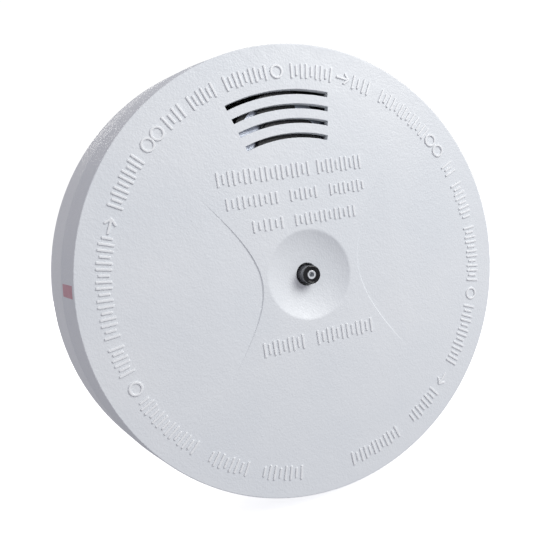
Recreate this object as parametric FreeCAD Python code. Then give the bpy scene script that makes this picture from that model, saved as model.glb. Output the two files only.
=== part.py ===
import FreeCAD, Part
import math
import os

os.makedirs("parts", exist_ok=True)

# A battery heat detector for a wall or ceiling.
# It is drawn face up on the bench: Z is the axis, the mounting face is z = 0 and the slots lie towards +Y.
# At export it is stood up, so that the face looks along -Y, the slots are at the top (+Z) and the
# mounting face is the plane y = 0. All sizes are in millimetres.

Vector = FreeCAD.Vector

# ---------------------------------------------------------------- driving dimensions: the shell
back_diameter = 120.0        # the outside, carried down to the mounting face
joint_diameter = 115.4       # the outside at the line between housing and cover
rim_diameter = 111.4         # the outside at the front face
face_height = 30.0           # mounting face to front face
joint_height = 17.7          # mounting face to the line between housing and cover
joint_gap = 0.4              # the shadow line between housing and cover
wall = 2.0
rim_round = 0.5

# mounting plate
plate_web = 2.0
plate_rim_height = 3.0
plate_rim_width = 2.4
plate_set_in = 0.15          # how far the plate's edge sits inside the housing's line
plate_gap = 0.3              # plate rim to housing wall
fixing_spacing = 60.0
fixing_slot_length = 9.0
fixing_slot_width = 4.4
rib_radius = 37.0
rib_width = 1.2
centre_hole_radius = 5.0
back_groove_radii = [16.0, 26.5, 48.0]   # shallow rings on the wall side
back_groove_width = 1.2
back_groove_depth = 0.6

# bayonet between plate and housing
hook_count = 3
hook_first_angle = 106.0
hook_radius = 45.5           # middle of the post
hook_thickness = 2.0
hook_reach = 2.4             # how far the hook's foot reaches outwards over the floor
hook_half_angle = 5.0
hook_foot_height = 1.6
hook_lift = 0.3              # clearance under the hook's foot
hook_clearance = 0.4
twist_angle = 15.0

# base housing
floor_height = 5.3
floor_thickness = 1.8
post_radius = 3.0
post_height = 4.9
post_pilot_radius = 1.1
post_places = [(-38.0, -6.0), (38.0, -6.0), (30.0, 28.0), (-30.0, 28.0)]

# cover screws
cover_screw_count = 3
cover_screw_first_angle = 30.0
cover_screw_circle = 50.0
cover_screw_radius = 1.4
cover_screw_head_radius = 2.8
cover_screw_head_height = 2.0
cover_screw_bite = 6.3
cover_boss_radius = 3.2
screw_clearance = 0.25
boss_wall = 0.9
cover_lip_depth = 2.2
cover_lip_thickness = 1.2
cover_lip_clearance = 0.2

# front face
dish_radius = 11.1
dish_depth = 1.95
dish_curve = 2.6              # power of the radius: nearly flat round the button, steepest at the edge
dish_curve_points = 12
dish_edge_round = 0.5
slot_radii = [44.4, 41.0, 37.55, 34.05]
slot_width = 1.2
slot_left_angle = 19.7       # from the top, anticlockwise as seen from the front
slot_right_outer_angle = 15.2
slot_right_inner_angle = 17.1
waist_right = 13.65          # from the middle to the raised hourglass's right edge, at its waist
waist_left = 12.7
spread_right = 15.8          # how quickly each of its two hyperbolas opens
spread_left = 13.3
lobe_end = 25.0              # where the sunk lobes have run out to nothing
lobe_depth = 0.3

# test button and lens
button_radius = 2.3
button_proud = 1.1
button_bore_gap = 0.5
button_edge_round = 0.25
button_travel = 0.5
collar_radius = 3.8
collar_clearance = 0.05
collar_play = 0.15
guide_wall = 1.3
guide_height_over_board = 5.9
button_cavity_radius = 2.1
button_cavity_depth = 4.1
arm_half_width = 1.5
arm_thickness = 1.4
lens_radius = 1.1
lens_flange_radius = 2.0
lens_flange_height = 1.0
lens_set_back = 0.2
lens_dimple_radius = 0.66
lens_dimple_depth = 0.35

# circuit board
board_radius = 45.6
board_thickness = 1.6
board_front_edge = -12.2     # the board's straight edge beside the battery bay
board_screw_radius = 1.1
board_hole_clearance = 0.2
board_screw_head_radius = 2.2
board_screw_head_height = 1.5
board_screw_length = 4.0

# tact switch
switch_x = 7.5
switch_size = 6.0
switch_height = 3.5
switch_plate = 0.25
plunger_radius = 1.75
plunger_clearance = 0.08
plunger_stand = 4.3          # board to the plunger's top
plunger_depth = 2.6
plunger_under_gap = 0.25

# indicator
led_radius = 1.5
led_flange_radius = 1.85
led_flange_height = 1.0
led_height = 5.1
led_lead_spacing = 1.27

# sounder
sounder_x = 0.0
sounder_y = 30.8
sounder_base_radius = 11.2
sounder_radius = 14.4
sounder_wall = 1.3
sounder_flare = 5.0
sounder_disc_radius = 12.9
sounder_disc_thickness = 0.25
sounder_ceramic_radius = 7.0
sounder_ceramic_thickness = 0.2
sounder_seat_depth = 0.5
sounder_gasket_height = 0.5
sounder_gasket_width = 0.9
sounder_cap_radius = 8.8
sounder_cap_shift_x = 0.9        # the cap sits a little off the disc's middle
sounder_cap_shift_y = 0.4
sounder_cap_thickness = 0.7
sounder_cap_round = 0.3
sounder_cap_stand = 0.35
sounder_leg_width = 2.4
sounder_leg_overlap = 0.5
sounder_bridge_width = 10.0      # the cap's broad leg, towards the top
sounder_leg_first_angle = 98.0
sounder_cover_gap = 0.3

# thermistor
thermistor_x = -16.2
thermistor_y = 38.6
thermistor_bead_radius = 1.2
thermistor_cover_gap = 1.6
thermistor_lead_spacing = 1.4
lead_radius = 0.25

# battery, a nine volt block, and its bay
battery_length = 45.6
battery_width = 26.5
battery_depth = 17.5
battery_centre_y = -27.7
battery_centre_x = -1.4
battery_clearance = 0.5
battery_corner_round = 2.2
terminal_height = 2.8
terminal_spacing = 12.7
terminal_radii = [2.9, 3.7]
bay_wall = 1.2
bay_roof = 1.2
pad_thickness = 0.5
connector_thickness = 4.0
connector_length = 24.0
connector_width = 12.0
connector_room = 1.6
catch_reach = 0.8
catch_height = 0.9
catch_half_length = 5.0
lead_wire_radius = 0.65
lead_notch_half_width = 2.6
lead_notch_height = 4.0
lead_notch_over_board = 1.0
lead_reach = 3.4             # bay wall to where the leads turn down to the board

# small pieces
marker_angle = 173.6
marker_width = 2.9
marker_margin = 1.4
label_size = (34.0, 22.0)
label_thickness = 0.12
label_y = 6.0

# ---------------------------------------------------------------- heights worked out from the above
back_radius = back_diameter / 2
joint_radius = joint_diameter / 2
rim_radius = rim_diameter / 2
housing_bottom = plate_rim_height + plate_gap
housing_top = joint_height - joint_gap / 2
cover_bottom = joint_height + joint_gap / 2
cover_inner = face_height - wall
floor_top = floor_height + floor_thickness
board_bottom = floor_top + post_height
board_top = board_bottom + board_thickness
battery_bottom = floor_height + battery_clearance / 2
battery_top = battery_bottom + battery_depth
roof_bottom = battery_top + pad_thickness
roof_top = roof_bottom + bay_roof
dish_underside = cover_inner - dish_depth
guide_bottom = board_top + guide_height_over_board
button_top = face_height + button_proud
collar_top = dish_underside - collar_play
plunger_top = board_top + plunger_stand
arm_bottom = plunger_top
sounder_cap_top = cover_inner - sounder_cover_gap
sounder_cap_bottom = sounder_cap_top - sounder_cap_thickness
sounder_cup_top = sounder_cap_bottom - sounder_cap_stand
sounder_seat = sounder_cup_top - sounder_seat_depth
lead_notch_low = board_top + lead_notch_over_board
connector_left = battery_centre_x + battery_length / 2 + 1.3
bay_left = battery_centre_x - battery_length / 2 - battery_clearance
bay_right = connector_left + connector_thickness + connector_room
bay_low = battery_centre_y - battery_width / 2 - battery_clearance
bay_high = battery_centre_y + battery_width / 2 + battery_clearance


# ---------------------------------------------------------------- helpers
def outer_radius(z):
    """Outside radius of the shell at height z: two straight tapers that meet at the joint line."""
    if z <= joint_height:
        return back_radius + (joint_radius - back_radius) * z / joint_height
    share = (z - joint_height) / (face_height - joint_height)
    return joint_radius + (rim_radius - joint_radius) * share


def cylinder(radius, low, high, x=0.0, y=0.0):
    return Part.makeCylinder(radius, high - low, Vector(x, y, low))


def tube(outer, inner, low, high, x=0.0, y=0.0):
    return cylinder(outer, low, high, x, y).cut(cylinder(inner, low, high, x, y))


def block(x_low, x_high, y_low, y_high, low, high):
    return Part.makeBox(x_high - x_low, y_high - y_low, high - low, Vector(x_low, y_low, low))


def turned(outline):
    """A solid of revolution about Z from (radius, height) points."""
    points = [Vector(radius, 0, height) for radius, height in outline]
    face = Part.Face(Part.makePolygon(points + [points[0]]))
    return face.revolve(Vector(0, 0, 0), Vector(0, 0, 1), 360)


def polar(radius, angle, z=0.0):
    turn = math.radians(angle)
    return Vector(radius * math.cos(turn), radius * math.sin(turn), z)


def ring_sector(inner, outer, start, end, low, high):
    """A piece of a flat ring between two angles in degrees, anticlockwise from +X."""
    middle = (start + end) / 2
    outside = Part.Arc(polar(outer, start, low), polar(outer, middle, low), polar(outer, end, low))
    inside = Part.Arc(polar(inner, end, low), polar(inner, middle, low), polar(inner, start, low))
    edges = [
        outside.toShape(),
        Part.makeLine(polar(outer, end, low), polar(inner, end, low)),
        inside.toShape(),
        Part.makeLine(polar(inner, start, low), polar(outer, start, low)),
    ]
    return Part.Face(Part.Wire(edges)).extrude(Vector(0, 0, high - low))


def stadium(length, width, low, high, x=0.0, y=0.0):
    """A slot-shaped solid that runs along X, with round ends."""
    reach = (length - width) / 2
    middle = block(x - reach, x + reach, y - width / 2, y + width / 2, low, high)
    ends = [cylinder(width / 2, low, high, x - reach, y), cylinder(width / 2, low, high, x + reach, y)]
    return middle.fuse(ends).removeSplitter()


def fused(first, others):
    return first.fuse(others).removeSplitter()


def fillet_where(shape, radius, wanted):
    return shape.makeFillet(radius, [edge for edge in shape.Edges if wanted(edge)])


def upright(edge):
    """True for a straight edge parallel to Z."""
    if len(edge.Vertexes) != 2:
        return False
    first, last = edge.Vertexes[0].Point, edge.Vertexes[1].Point
    return math.hypot(first.x - last.x, first.y - last.y) < 1e-6 and edge.Length > 1e-6


def ring_edge(radius, height):
    """A test for the round edge about Z with this radius and height."""
    def test(edge):
        if edge.Degenerated:
            return False
        curve = edge.Curve
        if not isinstance(curve, Part.Circle):
            return False
        return abs(curve.Radius - radius) < 1e-4 and abs(curve.Center.z - height) < 1e-4
    return test


def wire_solid(route, radius):
    """A round wire along straight runs joined by tangent arcs."""
    points = [Vector(*place) for place in route]
    edges = []
    start = points[0]
    for before, corner, after in zip(points, points[1:], points[2:]):
        back_way = (before - corner).normalize()
        on_way = (after - corner).normalize()
        trim = 0.45 * min((before - corner).Length, (after - corner).Length)
        arc_start = corner + back_way * trim
        arc_end = corner + on_way * trim
        half_opening = back_way.getAngle(on_way) / 2
        bend_radius = trim * math.tan(half_opening)
        bisector = (back_way + on_way).normalize()
        centre = corner + bisector * (trim / math.cos(half_opening))
        arc_middle = centre - bisector * bend_radius
        edges.append(Part.makeLine(start, arc_start))
        edges.append(Part.Arc(arc_start, arc_middle, arc_end).toShape())
        start = arc_end
    edges.append(Part.makeLine(start, points[-1]))
    section = Part.Wire([Part.makeCircle(radius, points[0], points[1] - points[0])])
    sweep = Part.BRepOffsetAPI.MakePipeShell(Part.Wire(edges))
    sweep.add(section)
    sweep.build()
    sweep.makeSolid()
    return sweep.shape()


def pan_screw(x, y, head_low, head_high, head_radius, tip, radius, head_down):
    """A screw along Z. head_down puts the head at the low end."""
    head = cylinder(head_radius, head_low, head_high, x, y)
    rim = head_low if head_down else head_high
    head = fillet_where(head, head_radius * 0.3, ring_edge(head_radius, rim))
    drive_low = head_low if head_down else head_high - (head_high - head_low) * 0.6
    drive_high = drive_low + (head_high - head_low) * 0.6
    arm = head_radius * 0.6
    slit = head_radius * 0.13
    cross = block(x - arm, x + arm, y - slit, y + slit, drive_low, drive_high)
    cross = cross.fuse(block(x - slit, x + slit, y - arm, y + arm, drive_low, drive_high))
    head = head.cut(cross)
    if head_down:
        return fused(head, [cylinder(radius, head_high, tip, x, y)])
    return fused(head, [cylinder(radius, tip, head_low, x, y)])


# ---------------------------------------------------------------- mounting plate
def hook_angles():
    return [hook_first_angle + 360 / hook_count * index for index in range(hook_count)]


def mounting_plate():
    edge = outer_radius(plate_rim_height) - plate_set_in
    plate = turned([
        (0, 0), (edge, 0), (edge, plate_rim_height),
        (edge - plate_rim_width, plate_rim_height), (edge - plate_rim_width, plate_web), (0, plate_web),
    ])
    extras = [tube(rib_radius, rib_radius - rib_width, 0, plate_rim_height)]
    post_inner = hook_radius - hook_thickness / 2
    post_outer = hook_radius + hook_thickness / 2
    foot_low = floor_top + hook_lift
    foot_high = foot_low + hook_foot_height
    for angle in hook_angles():
        start, end = angle - hook_half_angle, angle + hook_half_angle
        extras.append(ring_sector(post_inner, post_outer, start, end, 0, foot_high))
        extras.append(ring_sector(post_inner, post_outer + hook_reach, start, end, foot_low, foot_high))
    plate = fused(plate, extras)
    slots = [
        stadium(fixing_slot_length, fixing_slot_width, -1, plate_rim_height + 1, side * fixing_spacing / 2)
        for side in (-1, 1)
    ]
    grooves = [
        tube(radius + back_groove_width / 2, radius - back_groove_width / 2, -1, back_groove_depth)
        for radius in back_groove_radii
    ]
    return plate.cut(slots + grooves + [cylinder(centre_hole_radius, -1, plate_web + 1)])


# ---------------------------------------------------------------- base housing
def cover_screw_places():
    step = 360 / cover_screw_count
    return [polar(cover_screw_circle, cover_screw_first_angle + step * index)
            for index in range(cover_screw_count)]


def bayonet_cut(angle):
    """A long slot for the hook's post, and a wide mouth at its far end that lets the foot through."""
    inner = hook_radius - hook_thickness / 2 - hook_clearance
    outer = hook_radius + hook_thickness / 2 + hook_clearance
    spare = math.degrees(hook_clearance / hook_radius)
    start = angle - twist_angle - hook_half_angle - spare
    end = angle + hook_half_angle + spare
    mouth_end = angle - twist_angle + hook_half_angle + spare
    low, high = floor_height - 1, floor_top + 1
    run = ring_sector(inner, outer, start, end, low, high)
    return run.fuse(ring_sector(inner, outer + hook_reach, start, mouth_end, low, high))


def base_housing():
    shell = turned([
        (0, floor_height), (outer_radius(floor_height) - wall, floor_height),
        (outer_radius(housing_bottom) - wall, housing_bottom), (outer_radius(housing_bottom), housing_bottom),
        (outer_radius(housing_top), housing_top), (outer_radius(housing_top) - wall, housing_top),
        (outer_radius(floor_top) - wall, floor_top), (0, floor_top),
    ])
    bay_outside = block(bay_left - bay_wall, bay_right + bay_wall, bay_low - bay_wall, bay_high + bay_wall,
                        floor_height, roof_top)
    additions = [bay_outside]
    boss_radius = cover_screw_head_radius + screw_clearance + boss_wall
    for place in cover_screw_places():
        additions.append(cylinder(boss_radius, floor_height, joint_height, place.x, place.y))
    for x, y in post_places:
        additions.append(cylinder(post_radius, floor_top - 0.5, board_bottom, x, y))
    shell = fused(shell, additions)

    removals = [block(bay_left, bay_right, bay_low, bay_high, floor_height - 1, roof_bottom)]
    head_top = floor_top + cover_screw_head_height
    for place in cover_screw_places():
        removals.append(cylinder(cover_screw_head_radius + screw_clearance, floor_height - 1, head_top,
                                 place.x, place.y))
        removals.append(cylinder(cover_screw_radius + screw_clearance, head_top - 1, joint_height + 1,
                                 place.x, place.y))
    for x, y in post_places:
        pilot_low = board_bottom - board_screw_length
        removals.append(cylinder(post_pilot_radius, pilot_low, board_bottom + 1, x, y))
    removals += [bayonet_cut(angle) for angle in hook_angles()]
    lead_x = connector_left + connector_thickness / 2
    removals.append(block(lead_x - lead_notch_half_width, lead_x + lead_notch_half_width,
                          bay_high - 0.5, bay_high + bay_wall + 0.5,
                          lead_notch_low, lead_notch_low + lead_notch_height))
    shell = shell.cut(removals)

    catches = []
    catch_low = battery_bottom - 0.15 - catch_height
    for side in (-1, 1):
        face = bay_low if side < 0 else bay_high
        inward = face - side * catch_reach
        low_y, high_y = min(face, inward), max(face, inward)
        catches.append(block(battery_centre_x - catch_half_length, battery_centre_x + catch_half_length,
                             low_y, high_y, catch_low, catch_low + catch_height))
        catches.append(block(battery_centre_x - catch_half_length, battery_centre_x + catch_half_length,
                             min(face, face + side * bay_wall), max(face, face + side * bay_wall),
                             catch_low, floor_top))
    return fused(shell, catches)


# ---------------------------------------------------------------- front cover
def cover_skirt():
    body = turned([
        (0, cover_bottom), (outer_radius(cover_bottom), cover_bottom),
        (rim_radius, face_height), (0, face_height),
    ])
    body = fillet_where(body, rim_round, ring_edge(rim_radius, face_height))
    hollow = turned([
        (0, cover_bottom - 1), (outer_radius(cover_bottom) - wall, cover_bottom - 1),
        (outer_radius(cover_bottom) - wall, cover_bottom),
        (outer_radius(cover_inner) - wall, cover_inner), (0, cover_inner),
    ])
    return body.cut(hollow)


def cover_lip():
    """A tongue below the skirt that enters the housing and hides the gap."""
    outside = outer_radius(housing_top) - wall - cover_lip_clearance
    inside = outside - cover_lip_thickness
    skirt = outer_radius(cover_bottom) - wall
    low = joint_height - cover_lip_depth
    return turned([
        (inside, low), (outside, low), (outside, cover_bottom), (skirt + 0.4, cover_bottom),
        (skirt + 0.4, cover_bottom + 1.5), (inside, cover_bottom + 1.5),
    ])


def slot_cuts():
    cuts = []
    span = slot_radii[0] - slot_radii[-1]
    for radius in slot_radii:
        share = (slot_radii[0] - radius) / span
        right = slot_right_outer_angle + (slot_right_inner_angle - slot_right_outer_angle) * share
        cuts.append(ring_sector(radius - slot_width / 2, radius + slot_width / 2,
                                90 - right, 90 + slot_left_angle, cover_inner - 1, face_height + 1))
    return cuts


def lobe_cut(side):
    """The sunk lobe on one side of the hourglass: bounded by a hyperbola, deepest at the waist."""
    waist, spread = (waist_right, spread_right) if side > 0 else (waist_left, spread_left)
    limit = spread * math.sqrt((lobe_end / waist) ** 2 - 1)
    steps = 16
    points = []
    for step in range(steps + 1):
        y = -limit + 2 * limit * step / steps
        x = waist * math.sqrt(1 + (y / spread) ** 2)
        points.append(Vector(side * x, y, cover_inner))
    curve = Part.BSplineCurve()
    curve.interpolate(points)
    outline = Part.Wire([curve.toShape(), Part.makeLine(points[-1], points[0])])
    region = Part.Face(outline).extrude(Vector(0, 0, wall + 1))
    wedge_points = [
        Vector(side * waist, -limit - 1, face_height - lobe_depth),
        Vector(side * lobe_end, -limit - 1, face_height),
        Vector(side * lobe_end, -limit - 1, face_height + 2),
        Vector(side * waist, -limit - 1, face_height + 2),
    ]
    wedge = Part.Face(Part.makePolygon(wedge_points + [wedge_points[0]])).extrude(Vector(0, 2 * limit + 2, 0))
    return region.common(wedge)


def marker_space():
    """The upright window in the skirt that holds the small pale red marker."""
    low = cover_bottom + marker_margin
    high = cover_inner + wall - marker_margin
    space = block(rim_radius - 2 * wall, back_radius + 1, -marker_width / 2, marker_width / 2, low, high)
    space.rotate(Vector(0, 0, 0), Vector(0, 0, 1), marker_angle)
    return space


def dish_space():
    """The finger dish round the button, turned from its curved section."""
    above = face_height + 1
    radii = [dish_radius * step / dish_curve_points for step in range(dish_curve_points + 1)]
    points = [Vector(r, 0, face_height - dish_depth * (1 - (r / dish_radius) ** dish_curve)) for r in radii]
    floor = Part.BSplineCurve()
    floor.interpolate(points)
    corners = [points[-1], Vector(dish_radius, 0, above), Vector(0, 0, above), points[0]]
    section = Part.Wire([floor.toShape()] + Part.makePolygon(corners).Edges)
    return Part.Face(section).revolve(Vector(0, 0, 0), Vector(0, 0, 1), 360)


def front_cover():
    collar_bore = collar_radius + collar_clearance
    additions = [
        cover_lip(),
        cylinder(dish_radius + 1.0, dish_underside, cover_inner + 0.5),
        cylinder(collar_bore + guide_wall, guide_bottom, dish_underside + 0.5),
    ]
    for place in cover_screw_places():
        additions.append(cylinder(cover_boss_radius, joint_height, cover_inner + 0.5, place.x, place.y))
    cover = fused(cover_skirt(), additions)
    cover = cover.cut(dish_space())
    cover = fillet_where(cover, dish_edge_round, ring_edge(dish_radius, face_height))
    removals = slot_cuts()
    removals += [lobe_cut(side) for side in (-1, 1)]
    removals.append(cylinder(button_radius + button_bore_gap, dish_underside - 1, face_height + 1))
    removals.append(cylinder(collar_bore, guide_bottom - 1, dish_underside))
    housing_boss = cover_screw_head_radius + screw_clearance + boss_wall
    for place in cover_screw_places():
        removals.append(cylinder(cover_screw_radius, joint_height - 1, joint_height + cover_screw_bite + 0.5,
                                 place.x, place.y))
        removals.append(cylinder(housing_boss + cover_lip_clearance, joint_height - cover_lip_depth - 1,
                                 joint_height, place.x, place.y))
    arm_room = arm_half_width + 0.4
    removals.append(block(0, collar_bore + guide_wall + 1, -arm_room, arm_room,
                          guide_bottom - 1, arm_bottom + arm_thickness + 0.4))
    removals.append(marker_space())
    return cover.cut(removals)


def cover_screws():
    head_low = floor_top
    head_high = head_low + cover_screw_head_height
    tip = joint_height + cover_screw_bite
    return [pan_screw(place.x, place.y, head_low, head_high, cover_screw_head_radius, tip,
                      cover_screw_radius, True) for place in cover_screw_places()]


def skirt_marker():
    return cover_skirt().common(marker_space())


# ---------------------------------------------------------------- test button and lens
def test_button():
    button = cylinder(button_radius, collar_top - 0.5, button_top)
    button = fillet_where(button, button_edge_round, ring_edge(button_radius, button_top))
    collar = cylinder(collar_radius, arm_bottom, collar_top)
    arm = block(0, switch_x + arm_half_width, -arm_half_width, arm_half_width,
                arm_bottom, arm_bottom + arm_thickness)
    button = fused(button, [collar, arm])
    cavity_top = arm_bottom + button_cavity_depth
    button = button.cut(cylinder(button_cavity_radius, arm_bottom - 1, cavity_top))
    return button.cut(cylinder(lens_radius, cavity_top - 1, button_top + 1))


def indicator_lens():
    cavity_top = arm_bottom + button_cavity_depth
    top = button_top - lens_set_back
    lens = cylinder(lens_radius, cavity_top - 0.2, top)
    lens = fused(lens, [cylinder(lens_flange_radius, cavity_top - lens_flange_height, cavity_top)])
    return lens.cut(cylinder(lens_dimple_radius, top - lens_dimple_depth, top + 1))


# ---------------------------------------------------------------- circuit board and what stands on it
def circuit_board():
    board = cylinder(board_radius, board_bottom, board_top)
    board = board.common(block(-board_radius, board_radius, board_front_edge, board_radius,
                               board_bottom - 1, board_top + 1))
    hole_radius = board_screw_radius + board_hole_clearance
    holes = [cylinder(hole_radius, board_bottom - 1, board_top + 1, x, y) for x, y in post_places]
    return board.cut(holes)


def board_screws():
    return [pan_screw(x, y, board_top, board_top + board_screw_head_height, board_screw_head_radius,
                      board_bottom - board_screw_length + 0.3, board_screw_radius, False)
            for x, y in post_places]


def indicator_led():
    dome_centre = board_top + led_height - led_radius
    body = cylinder(led_radius, board_top, dome_centre)
    dome = Part.makeSphere(led_radius, Vector(0, 0, dome_centre))
    flange = cylinder(led_flange_radius, board_top, board_top + led_flange_height)
    return fused(body, [dome, flange])


def lead_pair(x, y, spacing, low, high, along_x=True):
    offset = spacing / 2
    if along_x:
        return [cylinder(lead_radius, low, high, x + side * offset, y) for side in (-1, 1)]
    return [cylinder(lead_radius, low, high, x, y - offset), cylinder(lead_radius, low, high, x, y + offset)]


def led_leads():
    return lead_pair(0, 0, led_lead_spacing, board_bottom - 1.0, board_bottom)


def switch_body():
    half = switch_size / 2
    body = block(switch_x - half, switch_x + half, -half, half, board_top, board_top + switch_height)
    well = cylinder(plunger_radius + plunger_clearance,
                    plunger_top - plunger_depth - button_travel - plunger_under_gap,
                    board_top + switch_height + 1, switch_x)
    return fillet_where(body, 0.5, upright).cut(well)


def switch_shield():
    half = switch_size / 2 - 0.2
    low = board_top + switch_height
    plate = block(switch_x - half, switch_x + half, -half, half, low, low + switch_plate)
    return plate.cut(cylinder(plunger_radius + plunger_clearance + 0.1, low - 1, low + 1, switch_x))


def switch_plunger():
    plunger = cylinder(plunger_radius, plunger_top - plunger_depth, plunger_top, switch_x)
    return fillet_where(plunger, 0.2, ring_edge(plunger_radius, plunger_top))


def sounder_cup():
    flare_low = sounder_cup_top - sounder_flare
    inner = sounder_disc_radius - sounder_gasket_width
    seat_floor = sounder_seat - sounder_gasket_height
    cup = turned([
        (0, board_top), (sounder_base_radius, board_top), (sounder_base_radius, flare_low - 2),
        (sounder_radius, flare_low), (sounder_radius, sounder_cup_top),
        (sounder_disc_radius + 0.1, sounder_cup_top), (sounder_disc_radius + 0.1, seat_floor),
        (inner, seat_floor), (sounder_base_radius - sounder_wall, flare_low - 2),
        (sounder_base_radius - sounder_wall, board_top + sounder_wall), (0, board_top + sounder_wall),
    ])
    cup.translate(Vector(sounder_x, sounder_y, 0))
    holes = [cylinder(lead_radius * 2 + 0.15, board_top - 1, board_top + sounder_wall + 1,
                      sounder_x + offset, sounder_y) for offset in (-4.0, 4.0)]
    return cup.cut(holes)


def sounder_gasket():
    return tube(sounder_disc_radius, sounder_disc_radius - sounder_gasket_width,
                sounder_seat - sounder_gasket_height, sounder_seat, sounder_x, sounder_y)


def sounder_disc():
    return cylinder(sounder_disc_radius, sounder_seat, sounder_seat + sounder_disc_thickness,
                    sounder_x, sounder_y)


def sounder_ceramic():
    low = sounder_seat + sounder_disc_thickness
    return cylinder(sounder_ceramic_radius, low, low + sounder_ceramic_thickness, sounder_x, sounder_y)


def sounder_cap():
    cap = cylinder(sounder_cap_radius, sounder_cap_bottom, sounder_cap_top)
    cap = fillet_where(cap, sounder_cap_round, ring_edge(sounder_cap_radius, sounder_cap_top))
    cap.translate(Vector(sounder_cap_shift_x, sounder_cap_shift_y, 0))
    legs = []
    for index, width in enumerate((sounder_bridge_width, sounder_leg_width, sounder_leg_width)):
        leg = block(sounder_cap_radius - 2.0, sounder_radius, -width / 2, width / 2,
                    sounder_cup_top, sounder_cap_bottom + sounder_leg_overlap)
        leg = leg.common(cylinder(sounder_radius, sounder_cup_top, sounder_cap_top))
        leg.rotate(Vector(0, 0, 0), Vector(0, 0, 1), sounder_leg_first_angle + 120 * index)
        legs.append(leg)
    cap = fused(cap, legs)
    cap.translate(Vector(sounder_x, sounder_y, 0))
    return cap


def sounder_contacts():
    return [cylinder(lead_radius * 2, board_top, sounder_seat, sounder_x + offset, sounder_y)
            for offset in (-4.0, 4.0)]


def thermistor_bead():
    centre = cover_inner - thermistor_cover_gap - thermistor_bead_radius
    bead = Part.makeSphere(thermistor_bead_radius, Vector(thermistor_x, thermistor_y, centre))
    neck = cylinder(thermistor_bead_radius * 0.8, centre - thermistor_bead_radius * 1.6, centre,
                    thermistor_x, thermistor_y)
    return fused(bead, [neck])


def thermistor_leads():
    high = cover_inner - thermistor_cover_gap - thermistor_bead_radius * 2.6
    return lead_pair(thermistor_x, thermistor_y, thermistor_lead_spacing, board_top, high)


def control_chip():
    return block(-27.0, -17.0, 6.0, 12.4, board_top + 0.5, board_top + 3.7)


def chip_legs():
    legs = []
    for index in range(7):
        x = -25.81 + 1.27 * index
        for y_low in (5.2, 12.4):
            legs.append(block(x - 0.2, x + 0.2, y_low, y_low + 0.8, board_top, board_top + 1.9))
    return legs


def coil_core():
    core = turned([
        (0, 0), (5.0, 0), (5.0, 1.0), (2.0, 1.0), (2.0, 7.0), (5.0, 7.0), (5.0, 8.0), (0, 8.0),
    ])
    core.translate(Vector(25.0, 8.0, board_top))
    return core


def coil_winding():
    return tube(4.5, 2.0, board_top + 1.0, board_top + 7.0, 25.0, 8.0)


def electrolytic_capacitors():
    cans = []
    for x, y in ((-14.0, 18.0), (22.0, 20.5)):
        can = cylinder(3.15, board_top, board_top + 10.0, x, y)
        groove = tube(4.0, 2.85, board_top + 1.4, board_top + 1.9, x, y)
        cans.append(can.cut(groove))
    return cans


def resistors():
    bodies = []
    for x, y in ((-30.0, 18.0), (-26.5, 18.0), (-23.0, 18.0), (12.0, 10.0), (15.5, 10.0), (-8.5, 6.0)):
        bodies.append(block(x - 0.9, x + 0.9, y - 3.2, y + 3.2, board_top + 0.4, board_top + 2.2))
    return bodies


def resistor_feet():
    feet = []
    for x, y in ((-30.0, 18.0), (-26.5, 18.0), (-23.0, 18.0), (12.0, 10.0), (15.5, 10.0), (-8.5, 6.0)):
        feet += lead_pair(x, y, 8.0, board_top, board_top + 1.3, along_x=False)
    return feet


def ceramic_capacitors():
    discs = []
    for x, y in ((-35.0, 8.0), (-33.0, 0.0), (33.0, 16.0), (-8.5, -5.0)):
        discs.append(block(x - 2.4, x + 2.4, y - 1.1, y + 1.1, board_top, board_top + 4.6))
    return [fillet_where(disc, 0.6, upright) for disc in discs]


def transistors():
    bodies = []
    for x, y in ((-20.0, 0.0), (18.0, 0.0)):
        round_body = cylinder(2.3, board_top + 1.5, board_top + 6.0, x, y)
        bodies.append(round_body.common(block(x - 3, x + 3, y - 1.4, y + 3, board_top, board_top + 7)))
    return bodies


def transistor_legs():
    legs = []
    for x, y in ((-20.0, 0.0), (18.0, 0.0)):
        for offset in (-1.27, 0.0, 1.27):
            legs.append(cylinder(lead_radius, board_top, board_top + 1.5, x + offset, y))
    return legs


# ---------------------------------------------------------------- battery, its connector and leads
def battery_case():
    half = battery_length / 2
    case = block(battery_centre_x - half, battery_centre_x + half, battery_centre_y - battery_width / 2,
                 battery_centre_y + battery_width / 2, battery_bottom, battery_top)
    lengthwise = []
    for edge in case.Edges:
        first, last = edge.Vertexes[0].Point, edge.Vertexes[1].Point
        if abs(first.x - last.x) > 1:
            lengthwise.append(edge)
    return case.makeFillet(battery_corner_round, lengthwise)


def terminal_places():
    height = battery_bottom + battery_depth / 2
    return [(battery_centre_y + side * terminal_spacing / 2, height) for side in (-1, 1)]


def along_x_cylinder(radius, x_low, x_high, y, z):
    return Part.makeCylinder(radius, x_high - x_low, Vector(x_low, y, z), Vector(1, 0, 0))


def battery_terminals():
    face = battery_centre_x + battery_length / 2
    return [along_x_cylinder(radius, face, face + terminal_height, y, z)
            for radius, (y, z) in zip(terminal_radii, terminal_places())]


def snap_connector():
    face = battery_centre_x + battery_length / 2
    height = battery_bottom + battery_depth / 2
    pad = block(connector_left, connector_left + connector_thickness,
                battery_centre_y - connector_length / 2, battery_centre_y + connector_length / 2,
                height - connector_width / 2, height + connector_width / 2)
    sockets = [along_x_cylinder(radius + 0.1, face - 1, face + terminal_height + 0.1, y, z)
               for radius, (y, z) in zip(terminal_radii, terminal_places())]
    return pad.cut(sockets)


def battery_lead(offset):
    """From the connector's end, out through the bay's notch and down to a pad on the board."""
    x = connector_left + connector_thickness / 2 + offset
    height = lead_notch_low + lead_notch_height / 2
    down = bay_high + bay_wall + lead_reach
    start = battery_centre_y + connector_length / 2
    return wire_solid([(x, start, height), (x, down, height), (x, down, board_top)], lead_wire_radius)


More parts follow.
